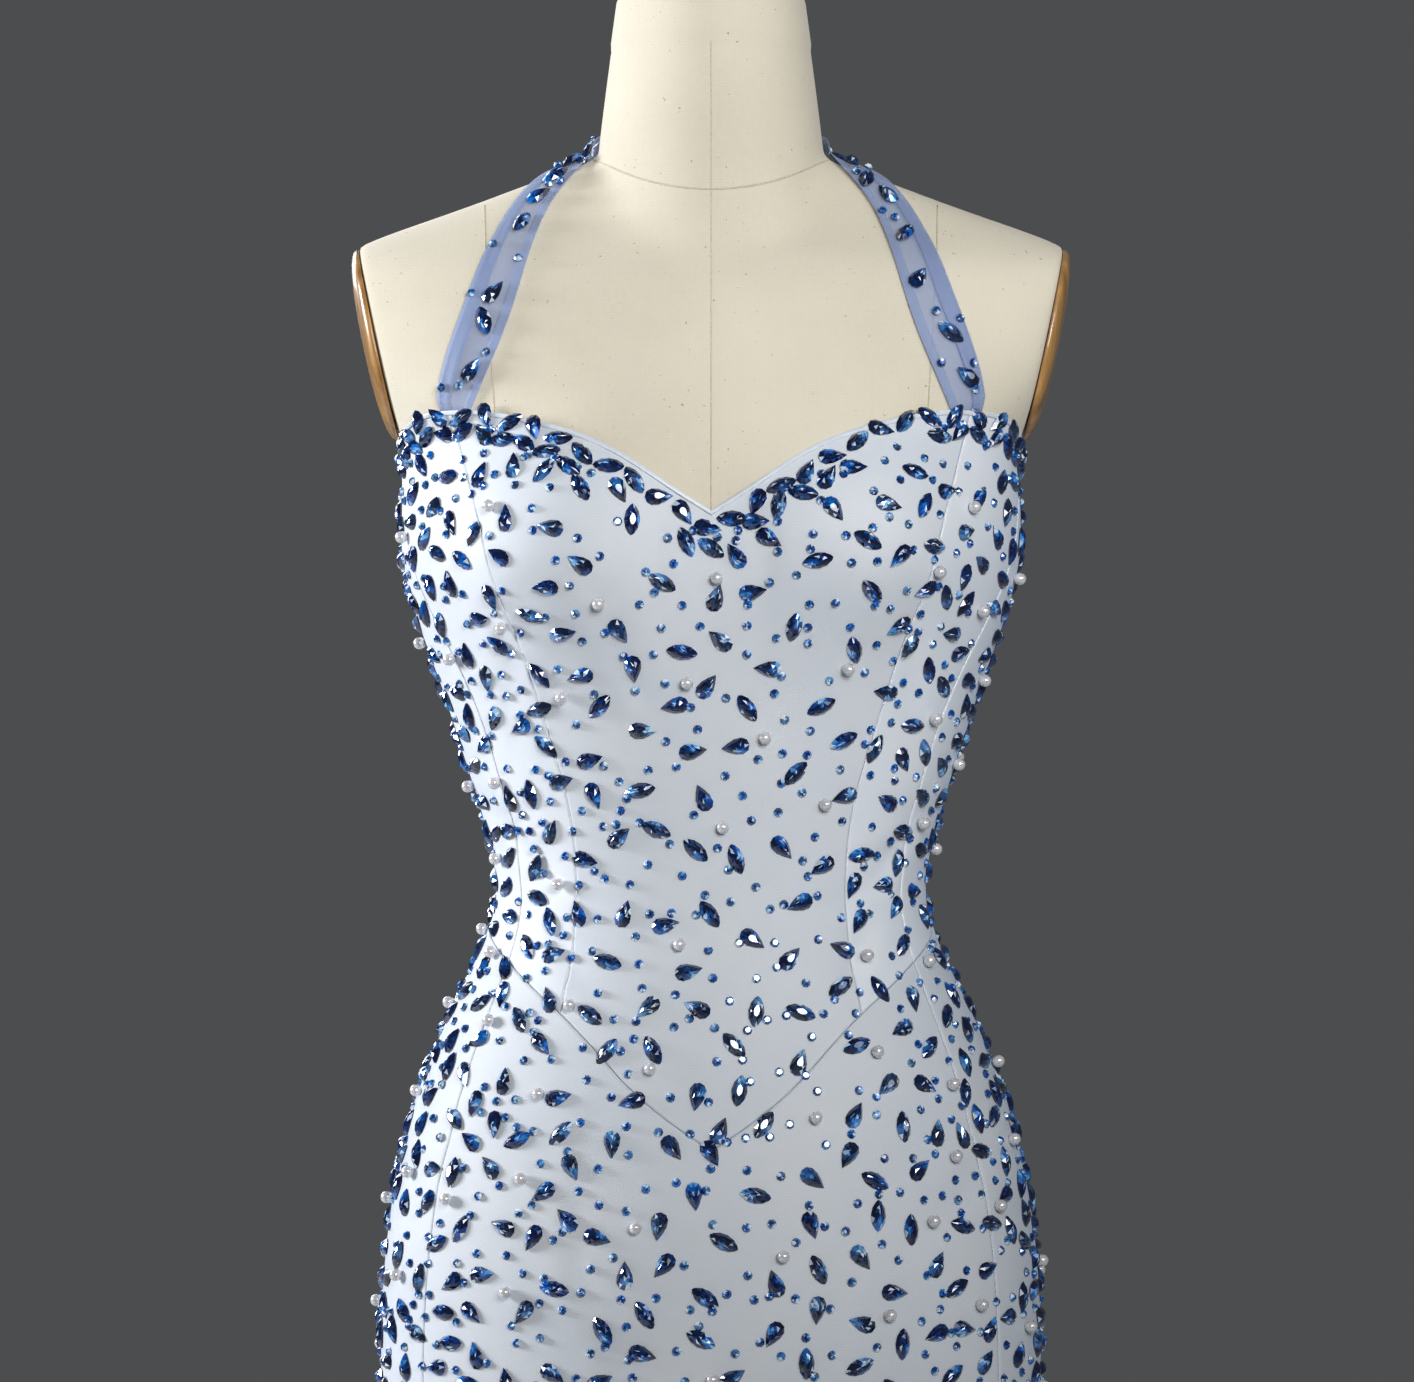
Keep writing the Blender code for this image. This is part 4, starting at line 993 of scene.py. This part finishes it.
# The stones: foil-backed glass pears and navettes with small round ones between them and a pearl
# here and there, sewn on one by one over the whole gown and packed along the neckline.
PEAR = (0.0140, 0.0086, 0.0036)
NAVETTE = (0.0155, 0.0078, 0.0036)
ROUND = (0.0047, 0.0047, 0.0023)
PEARL_RADIUS = 0.0032
# Facet colours by painted brightness: dark navy glass up to near white, the palest ones painted
# glints of light.
STONE_COLOURS = (
    # brightness of the facet, colour
    (0.00, (0.001, 0.003, 0.020, 1)),
    (0.32, (0.004, 0.014, 0.075, 1)),
    (0.54, (0.018, 0.078, 0.330, 1)),
    (0.72, (0.050, 0.200, 0.630, 1)),
    (0.86, (0.170, 0.450, 0.900, 1)),
    (0.95, (0.600, 0.780, 0.960, 1)),
    (1.00, (0.950, 0.980, 1.000, 1)),
)
PEARL_ROSE = (0.76, 0.72, 0.73, 1)
PEARL_GREY = (0.64, 0.67, 0.72, 1)
PEARL_BLOOM = 260.0
TAKEN_ROOM = 0.0092
# tries, room between two, distance under the top edge
LARGE_SCATTER = (30000, 0.0185, 0.020)
PEARL_SCATTER = (14000, 0.046, 0.030)
SMALL_SCATTER = (40000, 0.0118, 0.0070)
HIGHEST_TRY = 1.34
HEM_CLEAR = 0.012
TIP_TURN = math.radians(-60)
TOUCHING_SHARE = 0.62
TOUCHING_FROM_TOP = 0.0055
TOUCHING_AT_END = 0.0085
TOUCHING_CLOSER_BESIDE = 0.0025
PEARL_FROM_TOUCHING = 0.0058
SMALL_FROM_TOUCHING = 0.0060
BORDER_PITCH = 0.0140
BORDER_DEPTH = 0.0080
BORDER_RISE = 0.0060
BORDER_TURN = math.radians(33)
BORDER_UNEVEN = 0.0008
BORDER_TURN_UNEVEN = 0.35
SECOND_ROW_PITCH = 0.0128
SECOND_ROW_DEPTH = 0.0085
SECOND_ROW_TURN = 0.5
SECOND_ROWS = (
    # x where a stretch of the border's second row starts, and where it ends
    (-0.150, -0.066),
    (-0.050, -0.036),
    (-0.004, 0.008),
    (0.020, 0.078),
    (0.104, 0.150),
)
SIDE_FROM = math.radians(28)
SIDE_FULL = math.radians(58)
SIDE_CLOSER = 0.26
FULL_COVER_ABOVE = 0.80
HEM_COVER = 0.22
HUE = {"To Min": 0.480, "To Max": 0.504}
SATURATION = {"To Min": 0.90, "To Max": 1.14}
chance = np.random.default_rng(7)


def pear_outline(turn):
    """A drop: the cosine along, and the sine times the root of the half turn's sine across."""
    return np.cos(turn), np.sin(turn) * np.sin(turn / 2) ** 1.1 * 1.28


def navette_outline(turn):
    """A pointed oval: the cosine along, and the sine with a sharper foot across."""
    return np.cos(turn), np.sign(np.sin(turn)) * np.abs(np.sin(turn)) ** 1.45


def round_outline(turn):
    """A circle."""
    return np.cos(turn), np.sin(turn)


def cut_stone(outline, size, sides, levels):
    """A cut stone: its outline at some scales and heights, every second ring turned by half a
    side, with triangles between rings, and a flat table. Gives points, triangles, and for each
    triangle its facet's direction and level."""
    rings = []
    for scale, level, turned in levels:
        x, y = outline((np.arange(sides) + turned) * 2 * math.pi / sides)
        ring = [x * size[0] / 2 * scale, y * size[1] / 2 * scale, np.full(sides, level * size[2])]
        rings.append(np.stack(ring, axis=1))
    points = np.concatenate(rings + [rings[-1].mean(axis=0)[None]])
    i = np.arange(sides)
    j = (i + 1) % sides
    faces = []
    for k in range(len(levels) - 1):
        a, b = k * sides, (k + 1) * sides
        faces.append(np.stack([a + i, a + j, b + i], 1))
        faces.append(np.stack([a + j, b + j, b + i], 1))
    last = (len(levels) - 1) * sides
    faces.append(np.stack([last + i, last + j, np.full(sides, len(points) - 1)], 1))
    faces = np.concatenate(faces)
    middle = points[faces].mean(axis=1)
    heading = np.arctan2(middle[:, 1], middle[:, 0])
    return points, faces, heading, middle[:, 2] / size[2]


def frames_at(angle, height, turn):
    """For each place, the stone's long, cross and upright directions on the cloth."""
    normal = outward(angle, height)
    level = np.stack([np.cos(angle), np.sin(angle), 0 * angle], axis=1)
    level -= normal * (level * normal).sum(axis=1, keepdims=True)
    level /= np.linalg.norm(level, axis=1, keepdims=True)
    upright = np.cross(normal, level)
    long = level * np.cos(turn)[:, None] + upright * np.sin(turn)[:, None]
    return np.stack([long, np.cross(normal, long), normal], axis=1)


def clear_of(places, others, distance):
    """The places that lie further than a distance from all the others."""
    a = on_figure(places[:, 0], places[:, 1])
    b = on_figure(others[:, 0], others[:, 1])
    near = np.array([np.linalg.norm(b - p, axis=1).min() for p in a])
    return places[near > distance]


def scattered(tries, apart, from_top, taken):
    """Places on the gown in random order, even by area: each is kept if it lies further than
    apart from those kept before it, from_top under the top edge, and clear of those taken.
    They lie closer at the sides than in front, and towards the hem fewer are tried."""
    angle = chance.uniform(-math.pi, math.pi, tries)
    height = chance.uniform(HEM_HEIGHT + HEM_CLEAR, HIGHEST_TRY, tries)
    share = np.clip((height - HEM_HEIGHT) / (FULL_COVER_ABOVE - HEM_HEIGHT), 0, 1)
    cover = HEM_COVER + (1 - HEM_COVER) * share**1.3
    step = 1e-3
    around = on_figure(angle + step, height) - on_figure(angle - step, height)
    girth = np.linalg.norm(around, axis=1)
    even = girth / girth.max() * cover
    kept = (chance.uniform(0, 1, tries) < even) & (height < top_height(angle) - from_top)
    places = np.stack([angle[kept], height[kept]], axis=1)
    points = on_figure(places[:, 0], places[:, 1])
    full = np.zeros((len(taken) + len(points), 3))
    full[: len(taken)] = on_figure(taken[:, 0], taken[:, 1])
    turned = np.clip((np.abs(places[:, 0]) - SIDE_FROM) / (SIDE_FULL - SIDE_FROM), 0, 1)
    rooms = apart * (1 - SIDE_CLOSER * turned)
    count = len(taken)
    chosen = []
    for place, point, room in zip(places, points, rooms):
        away = full[:count] - point
        away = (away * away).sum(axis=1)
        if (away[: len(taken)] > TAKEN_ROOM**2).all() and (away[len(taken) :] > room**2).all():
            full[count] = point
            count += 1
            chosen.append(place)
    return np.array(chosen)


angles = np.linspace(-side_top_angle, side_top_angle, 1200)
line = on_figure(angles, top_height(angles) - BORDER_DEPTH)
travelled = np.concatenate([[0], np.cumsum(np.linalg.norm(np.diff(line, axis=0), axis=1))])


def along_top(first, pitch, depth, swing):
    """Stones in a row under the top edge, a pitch apart: their places, and their turns, which
    follow the edge with a swing to one side and the other in turn and some chance."""
    at = np.arange(first, travelled[-1] - first, pitch)
    angle = np.interp(at, travelled, angles)
    side = np.abs(np.sin(angle)) * figure_reach(angle, top_height(angle))
    level = depth - BORDER_RISE * np.clip((side - 0.060) / 0.020, 0, 1)
    level = level + chance.uniform(-BORDER_UNEVEN, BORDER_UNEVEN, len(at))
    climb = (top_height(angle + 0.02) - top_height(angle - 0.02)) / 0.04
    heading = np.arctan2(climb, figure_reach(angle, top_height(angle) - depth))
    turn = heading + np.where(np.arange(len(at)) % 2, swing, -swing)
    turn += chance.uniform(-BORDER_TURN_UNEVEN, BORDER_TURN_UNEVEN, len(at))
    turn += math.pi * (chance.uniform(0, 1, len(at)) < 0.5)
    return np.stack([angle, top_height(angle) - level], axis=1), turn


border, border_turn = along_top(BORDER_PITCH / 2, BORDER_PITCH, BORDER_DEPTH, BORDER_TURN)
second, second_turn = along_top(
    BORDER_PITCH, SECOND_ROW_PITCH, BORDER_DEPTH + SECOND_ROW_DEPTH, SECOND_ROW_TURN
)
across = figure_reach(second[:, 0], second[:, 1]) * np.sin(second[:, 0])
wanted = np.zeros(len(second), bool)
for start, end in SECOND_ROWS:
    wanted |= (across > start) & (across < end)
second, second_turn = second[wanted], second_turn[wanted]

tip = np.array([[0.0, float(waist_height(np.array(0.0))) - 0.001]])
fixed = np.concatenate([border, second, tip])
large = np.concatenate([tip, scattered(*LARGE_SCATTER, fixed)])
large_turn = chance.uniform(0, 2 * math.pi, len(large))
large_turn[0] = TIP_TURN
all_large = np.concatenate([border, second, large])
all_turn = np.concatenate([border_turn, second_turn, large_turn])

beside = chance.uniform(0, 2 * math.pi, len(all_large))
gap = TOUCHING_AT_END - TOUCHING_CLOSER_BESIDE * np.abs(np.sin(beside - all_turn))
reach = figure_reach(all_large[:, 0], all_large[:, 1])
touching = all_large + np.stack([gap * np.cos(beside) / reach, gap * np.sin(beside)], axis=1)
touching = touching[chance.uniform(0, 1, len(touching)) < TOUCHING_SHARE]
inside = touching[:, 1] < top_height(touching[:, 0]) - TOUCHING_FROM_TOP
touching = touching[inside & (touching[:, 1] > HEM_HEIGHT + HEM_CLEAR)]
pearls = clear_of(scattered(*PEARL_SCATTER, all_large), touching, PEARL_FROM_TOUCHING)
loose = scattered(*SMALL_SCATTER, np.concatenate([all_large, pearls]))
small = np.concatenate([touching, clear_of(loose, touching, SMALL_FROM_TOUCHING)])

stone, stone_shader = finish(
    "foiled_blue_glass",
    Roughness=0.06,
    IOR=1.65,
    Coat_Weight=1.0,
    Coat_Roughness=0.02,
    Metallic=0.25,
)
# the facet attribute holds each facet's painted brightness, painted light and glints, read through
# the ramp
facet = node(stone, "Attribute", {}, attribute_name="facet").outputs["Fac"]
ramp = node(stone, "ValToRGB", {"Fac": facet})
stops = ramp.color_ramp.elements
stops[0].color, stops[1].color = STONE_COLOURS[0][1], STONE_COLOURS[-1][1]
for at, colour in STONE_COLOURS[1:-1]:
    stops.new(at).color = colour
cast = node(stone, "Attribute", {}, attribute_name="cast").outputs["Fac"]
leaning = node(
    stone,
    "HueSaturation",
    {
        "Hue": node(stone, "MapRange", {"Value": cast, **HUE}).outputs["Result"],
        "Saturation": node(stone, "MapRange", {"Value": cast, **SATURATION}).outputs["Result"],
        "Color": ramp.outputs["Color"],
    },
)
painted(stone, stone_shader, leaning.outputs["Color"])

pearl, pearl_shader = finish(
    "pearl_bead", Roughness=0.20, Metallic=0.30, Coat_Weight=1.0, Coat_Roughness=0.05
)
bloom = noise(pearl, on_object(pearl), PEARL_BLOOM, 2.0)
painted(pearl, pearl_shader, blended(pearl, bloom, PEARL_ROSE, PEARL_GREY))

RIM_LEVEL = 0.20
RIM_BRIGHTNESS = 0.05
# painted light: each facet also gets a brightness by chance, standing for the light the glass
# returns through it
FACETS_OWN = 0.50
# painted highlight: the facets towards one side of each stone are painted brighter, as if lit from
# there
PAINTED_LIT_SIDE = 0.58
# painted highlights: a few facets of each stone are painted near white as glints of light
PAINTED_GLINTS_ABOVE = 0.968
PAINTED_GLINT = 0.96
LARGE_LEVELS = ((0.90, 0.0, 0), (1.0, 0.24, 0), (0.66, 0.72, 0.5), (0.36, 0.95, 0))
SMALL_LEVELS = ((0.88, 0.0, 0), (1.0, 0.36, 0), (0.55, 0.95, 0.5))
cut_pear = cut_stone(pear_outline, PEAR, 12, LARGE_LEVELS)
cut_navette = cut_stone(navette_outline, NAVETTE, 12, LARGE_LEVELS)
cut_round = cut_stone(round_outline, ROUND, 8, SMALL_LEVELS)
ball_levels = [(math.sin(t), 1 + math.cos(t), 0) for t in np.linspace(2.70, 0.30, 6)]
ball = (2 * PEARL_RADIUS, 2 * PEARL_RADIUS, PEARL_RADIUS)
cut_pearl = cut_stone(round_outline, ball, 10, ball_levels)


def facets(cut, count, darkest, brightest):
    """For each facet of each copy a painted brightness, standing for the light the glass returns:
    its own by chance, painted brighter towards one side as a highlight, with a few facets painted
    white as glints, and a dark rim.
    And for each copy a cast of its colour, the same on all its facets."""
    points, faces, heading, level = cut
    # painted light: each facet's brightness by chance, the same on each pair of triangles
    pairs = chance.uniform(0, 1, (count, (len(faces) + 1) // 2))
    pairs = np.repeat(pairs, 2, axis=1)[:, : len(faces)]
    # painted highlight: brighter towards one side of each stone, a side chosen by chance
    painted_lit_lobe = np.clip(np.cos(heading[None] - chance.uniform(0, 2 * math.pi, (count, 1))), 0, 1)
    bright = darkest + (brightest - darkest) * (FACETS_OWN * pairs**1.5 + PAINTED_LIT_SIDE * painted_lit_lobe**3)
    # painted highlights: a few facets painted near white as glints
    bright = np.where(chance.uniform(0, 1, bright.shape) > PAINTED_GLINTS_ABOVE, PAINTED_GLINT, bright)
    bright = np.where(level[None] < RIM_LEVEL, RIM_BRIGHTNESS, bright)
    cast = np.repeat(chance.uniform(0, 1, (count, 1)) ** 0.7, len(faces), axis=1)
    return np.clip(bright, 0, 1).ravel(), cast.ravel()


def placed(cut, middle, frame_of, darkest, brightest):
    """Copies of a cut stone, its points turned into each place's frame, with their facets."""
    points, faces = cut[:2]
    every = middle[:, None] + points @ frame_of
    index = faces[None] + (np.arange(len(middle)) * len(points))[:, None, None]
    return every.reshape(-1, 3), index.reshape(-1, 3), *facets(cut, len(middle), darkest, brightest)


def on_cloth(cut, places, turn, lift, darkest, brightest):
    """Copies of a cut stone on the cloth, at angles and heights."""
    cloth = np.where(places[:, 1] < waist_height(places[:, 0]), SKIRT_OUT, BODICE_OUT)
    middle = moved_out(places[:, 0], places[:, 1], cloth + lift)
    return placed(cut, middle, frames_at(places[:, 0], places[:, 1], turn), darkest, brightest)


def sewn_group(name, groups, material=stone, smooth=False):
    """Joins placed stones into one piece. Each group is its points, triangles, brightness and
    cast."""
    counts = np.cumsum([0] + [len(group[0]) for group in groups])
    points = np.concatenate([group[0] for group in groups])
    faces = np.concatenate([group[1] + start for group, start in zip(groups, counts)])
    mesh = bpy.data.meshes.new(name)
    mesh.vertices.add(len(points))
    mesh.vertices.foreach_set("co", points.astype(np.float32).ravel())
    mesh.loops.add(3 * len(faces))
    mesh.loops.foreach_set("vertex_index", faces.astype(np.int32).ravel())
    mesh.polygons.add(len(faces))
    mesh.polygons.foreach_set("loop_start", np.arange(0, 3 * len(faces), 3, dtype=np.int32))
    mesh.update(calc_edges=True)
    mesh.polygons.foreach_set("use_smooth", np.full(len(faces), smooth))
    for key, column in (("facet", 2), ("cast", 3)):
        layer = mesh.attributes.new(key, "FLOAT", "FACE")
        values = np.concatenate([group[column] for group in groups])
        layer.data.foreach_set("value", values.astype(np.float32))
    mesh.materials.append(material)
    piece = bpy.data.objects.new(name, mesh)
    bpy.context.scene.collection.objects.link(piece)
    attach(piece, "root")
    return piece


def cut_under(places):
    """The number of the cut that each place lies on, in the order of the list of cuts."""
    angle, height = places[:, 0], places[:, 1]
    side = (angle > 0).astype(int)
    princess = spline(PRINCESS_SEAM, 1, height)
    flank = spline(SIDE_SEAM_LINE, 1, height)
    turned = np.abs(angle)
    bodice = np.where(turned < princess, 0, np.where(turned < flank, 1 + 2 * side, 2 + 2 * side))
    skirt = np.where(turned < flank, 5, 6 + side)
    return np.where(height > waist_height(angle), bodice, skirt)


SUNK = -0.0002
PEAR_SHARE = 0.58
DULL, BRIGHT = 0.06, 0.97
# the round stones' brightest facets go past the ramp's end, to the painted near-white of glints
SMALL_DULL, SMALL_BRIGHT = 0.34, 1.25
is_pear = chance.uniform(0, 1, len(all_large)) < PEAR_SHARE
small_turn = chance.uniform(0, 2 * math.pi, len(small))
for number, (piece, size, area) in enumerate(CUTS):
    part = piece.name.removesuffix("_cloth")
    here = cut_under(all_large) == number
    groups = []
    for cut, wanted in ((cut_pear, here & is_pear), (cut_navette, here & ~is_pear)):
        groups.append(on_cloth(cut, all_large[wanted], all_turn[wanted], SUNK, DULL, BRIGHT))
    here = cut_under(small) == number
    seats = (small[here], small_turn[here], SUNK)
    groups.append(on_cloth(cut_round, *seats, SMALL_DULL, SMALL_BRIGHT))
    sewn_on = [sewn_group(part + "_stones", groups)]
    balls = pearls[cut_under(pearls) == number]
    if len(balls):
        group = on_cloth(cut_pearl, balls, np.zeros(len(balls)), SUNK, 0.5, 0.5)
        sewn_on.append(sewn_group(part + "_pearls", [group], pearl, smooth=True))
    if part == "bodice_front":
        sewn_on.append(binding)


# The stones on the straps: pears and navettes in turn, one to each 23 mm of the strap's length,
# with round ones all the way between them. They end short of the nape.
STRAP_STONE_PITCH = 0.023
STRAP_STONES_FROM = 0.022
STRAP_STONES_TO = 0.80
STRAP_STONE_SHIFT = 0.006
STRAP_STONE_LANE = 0.22
STRAP_STONE_TURN = 0.9
STRAP_SMALL_PITCH = 0.0056
STRAP_SMALL_FROM = 0.010
STRAP_SMALL_TO = 0.84
STRAP_SMALL_LANE = 0.42
STRAP_EDGE_LANE = 0.36
STRAP_STONE_LIFT = 0.0013
strap_at = np.arange(STRAP_STONES_FROM, strap_length * STRAP_STONES_TO, STRAP_STONE_PITCH)
strap_at = strap_at / strap_length
strap_small_at = np.arange(STRAP_SMALL_FROM, strap_length * STRAP_SMALL_TO, STRAP_SMALL_PITCH)
strap_small_at = strap_small_at / strap_length


def on_strap(at, lane_at, turn, side):
    """Middles and frames of stones on a strap: the strap's line plus a share of its width."""
    point = np.stack([np.interp(at, along, strap_middle[:, i]) for i in range(3)], axis=1)
    across = np.stack([np.interp(at, along, strap_across[:, i]) for i in range(3)], axis=1)
    width = np.interp(at, along, strap_width)
    lift = np.interp(at, along, strap_lift) + STRAP_STONE_LIFT
    point, normal = seated(point + across * (width * lane_at)[:, None], lift)
    long = np.cross(across, normal)
    long /= np.linalg.norm(long, axis=1, keepdims=True)
    long = long * np.cos(turn)[:, None] + np.cross(normal, long) * np.sin(turn)[:, None]
    frame_of = np.stack([long, np.cross(normal, long), normal], axis=1)
    mirror = np.array((side, 1, 1))
    frame_of = frame_of * mirror
    frame_of[:, 1] *= side
    return point * mirror, frame_of


for strap, side, word in zip(STRAPS, (-1, 1), ("left", "right")):
    shift = chance.uniform(-STRAP_STONE_SHIFT, STRAP_STONE_SHIFT, len(strap_at)) / strap_length
    lane_at = chance.uniform(-STRAP_STONE_LANE, STRAP_STONE_LANE, len(strap_at))
    turn = chance.uniform(-STRAP_STONE_TURN, STRAP_STONE_TURN, len(strap_at))
    small_lane = chance.uniform(-STRAP_SMALL_LANE, STRAP_SMALL_LANE, len(strap_small_at))
    near = np.abs(strap_small_at[:, None] - (strap_at + shift)[None]).min(axis=1) * strap_length
    keep = (near > TAKEN_ROOM) | (np.abs(small_lane) > STRAP_EDGE_LANE)
    groups = []
    for cut, which in ((cut_pear, slice(0, None, 2)), (cut_navette, slice(1, None, 2))):
        seats = on_strap((strap_at + shift)[which], lane_at[which], turn[which], side)
        groups.append(placed(cut, *seats, DULL, BRIGHT))
    seats = on_strap(strap_small_at[keep], small_lane[keep], small_lane[keep], side)
    groups.append(placed(cut_round, *seats, SMALL_DULL, SMALL_BRIGHT))
    stones = sewn_group("halter_" + word + "_stones", groups)


# The studio: a plain pale floor, a strong soft light from the viewer's left, two weak ones from
# the front and the right, one behind for the back, and the camera level with the waist and bust.
FLOOR_HALF = 4
FLOOR_COLOUR = (0.60, 0.60, 0.60, 1)
around = ((-1, -1), (1, -1), (1, 1), (-1, 1))
floor_corners = [(x * FLOOR_HALF, y * FLOOR_HALF, 0) for x, y in around]
floor_mesh = bpy.data.meshes.new("studio_floor")
floor_mesh.from_pydata(floor_corners, [], [(0, 1, 2, 3)])
floor = bpy.data.objects.new("studio_floor", floor_mesh)
bpy.context.scene.collection.objects.link(floor)
floor_mesh.materials.append(finish("pale_floor", Base_Color=FLOOR_COLOUR, Roughness=0.8)[0])

LIGHTS = (
    # name, place, aim, size, spread in degrees, watts, colour
    ("key_left", (-2.6, 0.20, 1.75), (0, 0, 1.15), 0.8, 180, 94, (0.97, 0.98, 1.0)),
    ("front", (0.6, -2.3, 2.05), (0, 0, 1.50), 1.1, 46, 5.1, (1.0, 0.99, 0.97)),
    ("fill_right", (2.2, -1.9, 2.2), (0, 0, 1.54), 1.2, 50, 1.1, (0.95, 0.97, 1.0)),
    ("back", (-1.5, 2.3, 2.2), (0, 0, 1.2), 1.4, 180, 26, (1.0, 1.0, 1.0)),
)
for name, place, aim, size, spread, watts, colour in LIGHTS:
    data = bpy.data.lights.new(name, "AREA")
    data.size = size
    data.spread = math.radians(spread)
    data.energy = watts
    data.color = colour
    lamp = bpy.data.objects.new(name, data)
    lamp.location = place
    toward = np.array(aim) - np.array(place)
    lamp.rotation_euler = (
        math.acos(-toward[2] / np.linalg.norm(toward)),
        0,
        math.atan2(toward[1], toward[0]) - math.pi / 2,
    )
    bpy.context.scene.collection.objects.link(lamp)

AIR_COLOUR = (0.72, 0.74, 0.78, 1)
AIR_STRENGTH = 0.10
world = bpy.data.worlds.new("studio")
world.use_nodes = True
air = world.node_tree.nodes["Background"]
air.inputs["Color"].default_value = AIR_COLOUR
air.inputs["Strength"].default_value = AIR_STRENGTH
bpy.context.scene.world = world
bpy.context.scene.view_settings.view_transform = "Standard"

CAMERA_DISTANCE = 3.2
CAMERA_HEIGHT = 1.20
CAMERA_ASIDE = -0.002
PHOTO_WIDTH_AT_AXIS = 0.707
SENSOR = 36.0
camera_data = bpy.data.cameras.new("camera")
camera_data.sensor_width = SENSOR
camera_data.lens = SENSOR * CAMERA_DISTANCE / PHOTO_WIDTH_AT_AXIS
camera = bpy.data.objects.new("camera", camera_data)
camera.location = (CAMERA_ASIDE, -CAMERA_DISTANCE, CAMERA_HEIGHT)
camera.rotation_euler = (math.pi / 2, 0, 0)
bpy.context.scene.collection.objects.link(camera)
bpy.context.scene.camera = camera
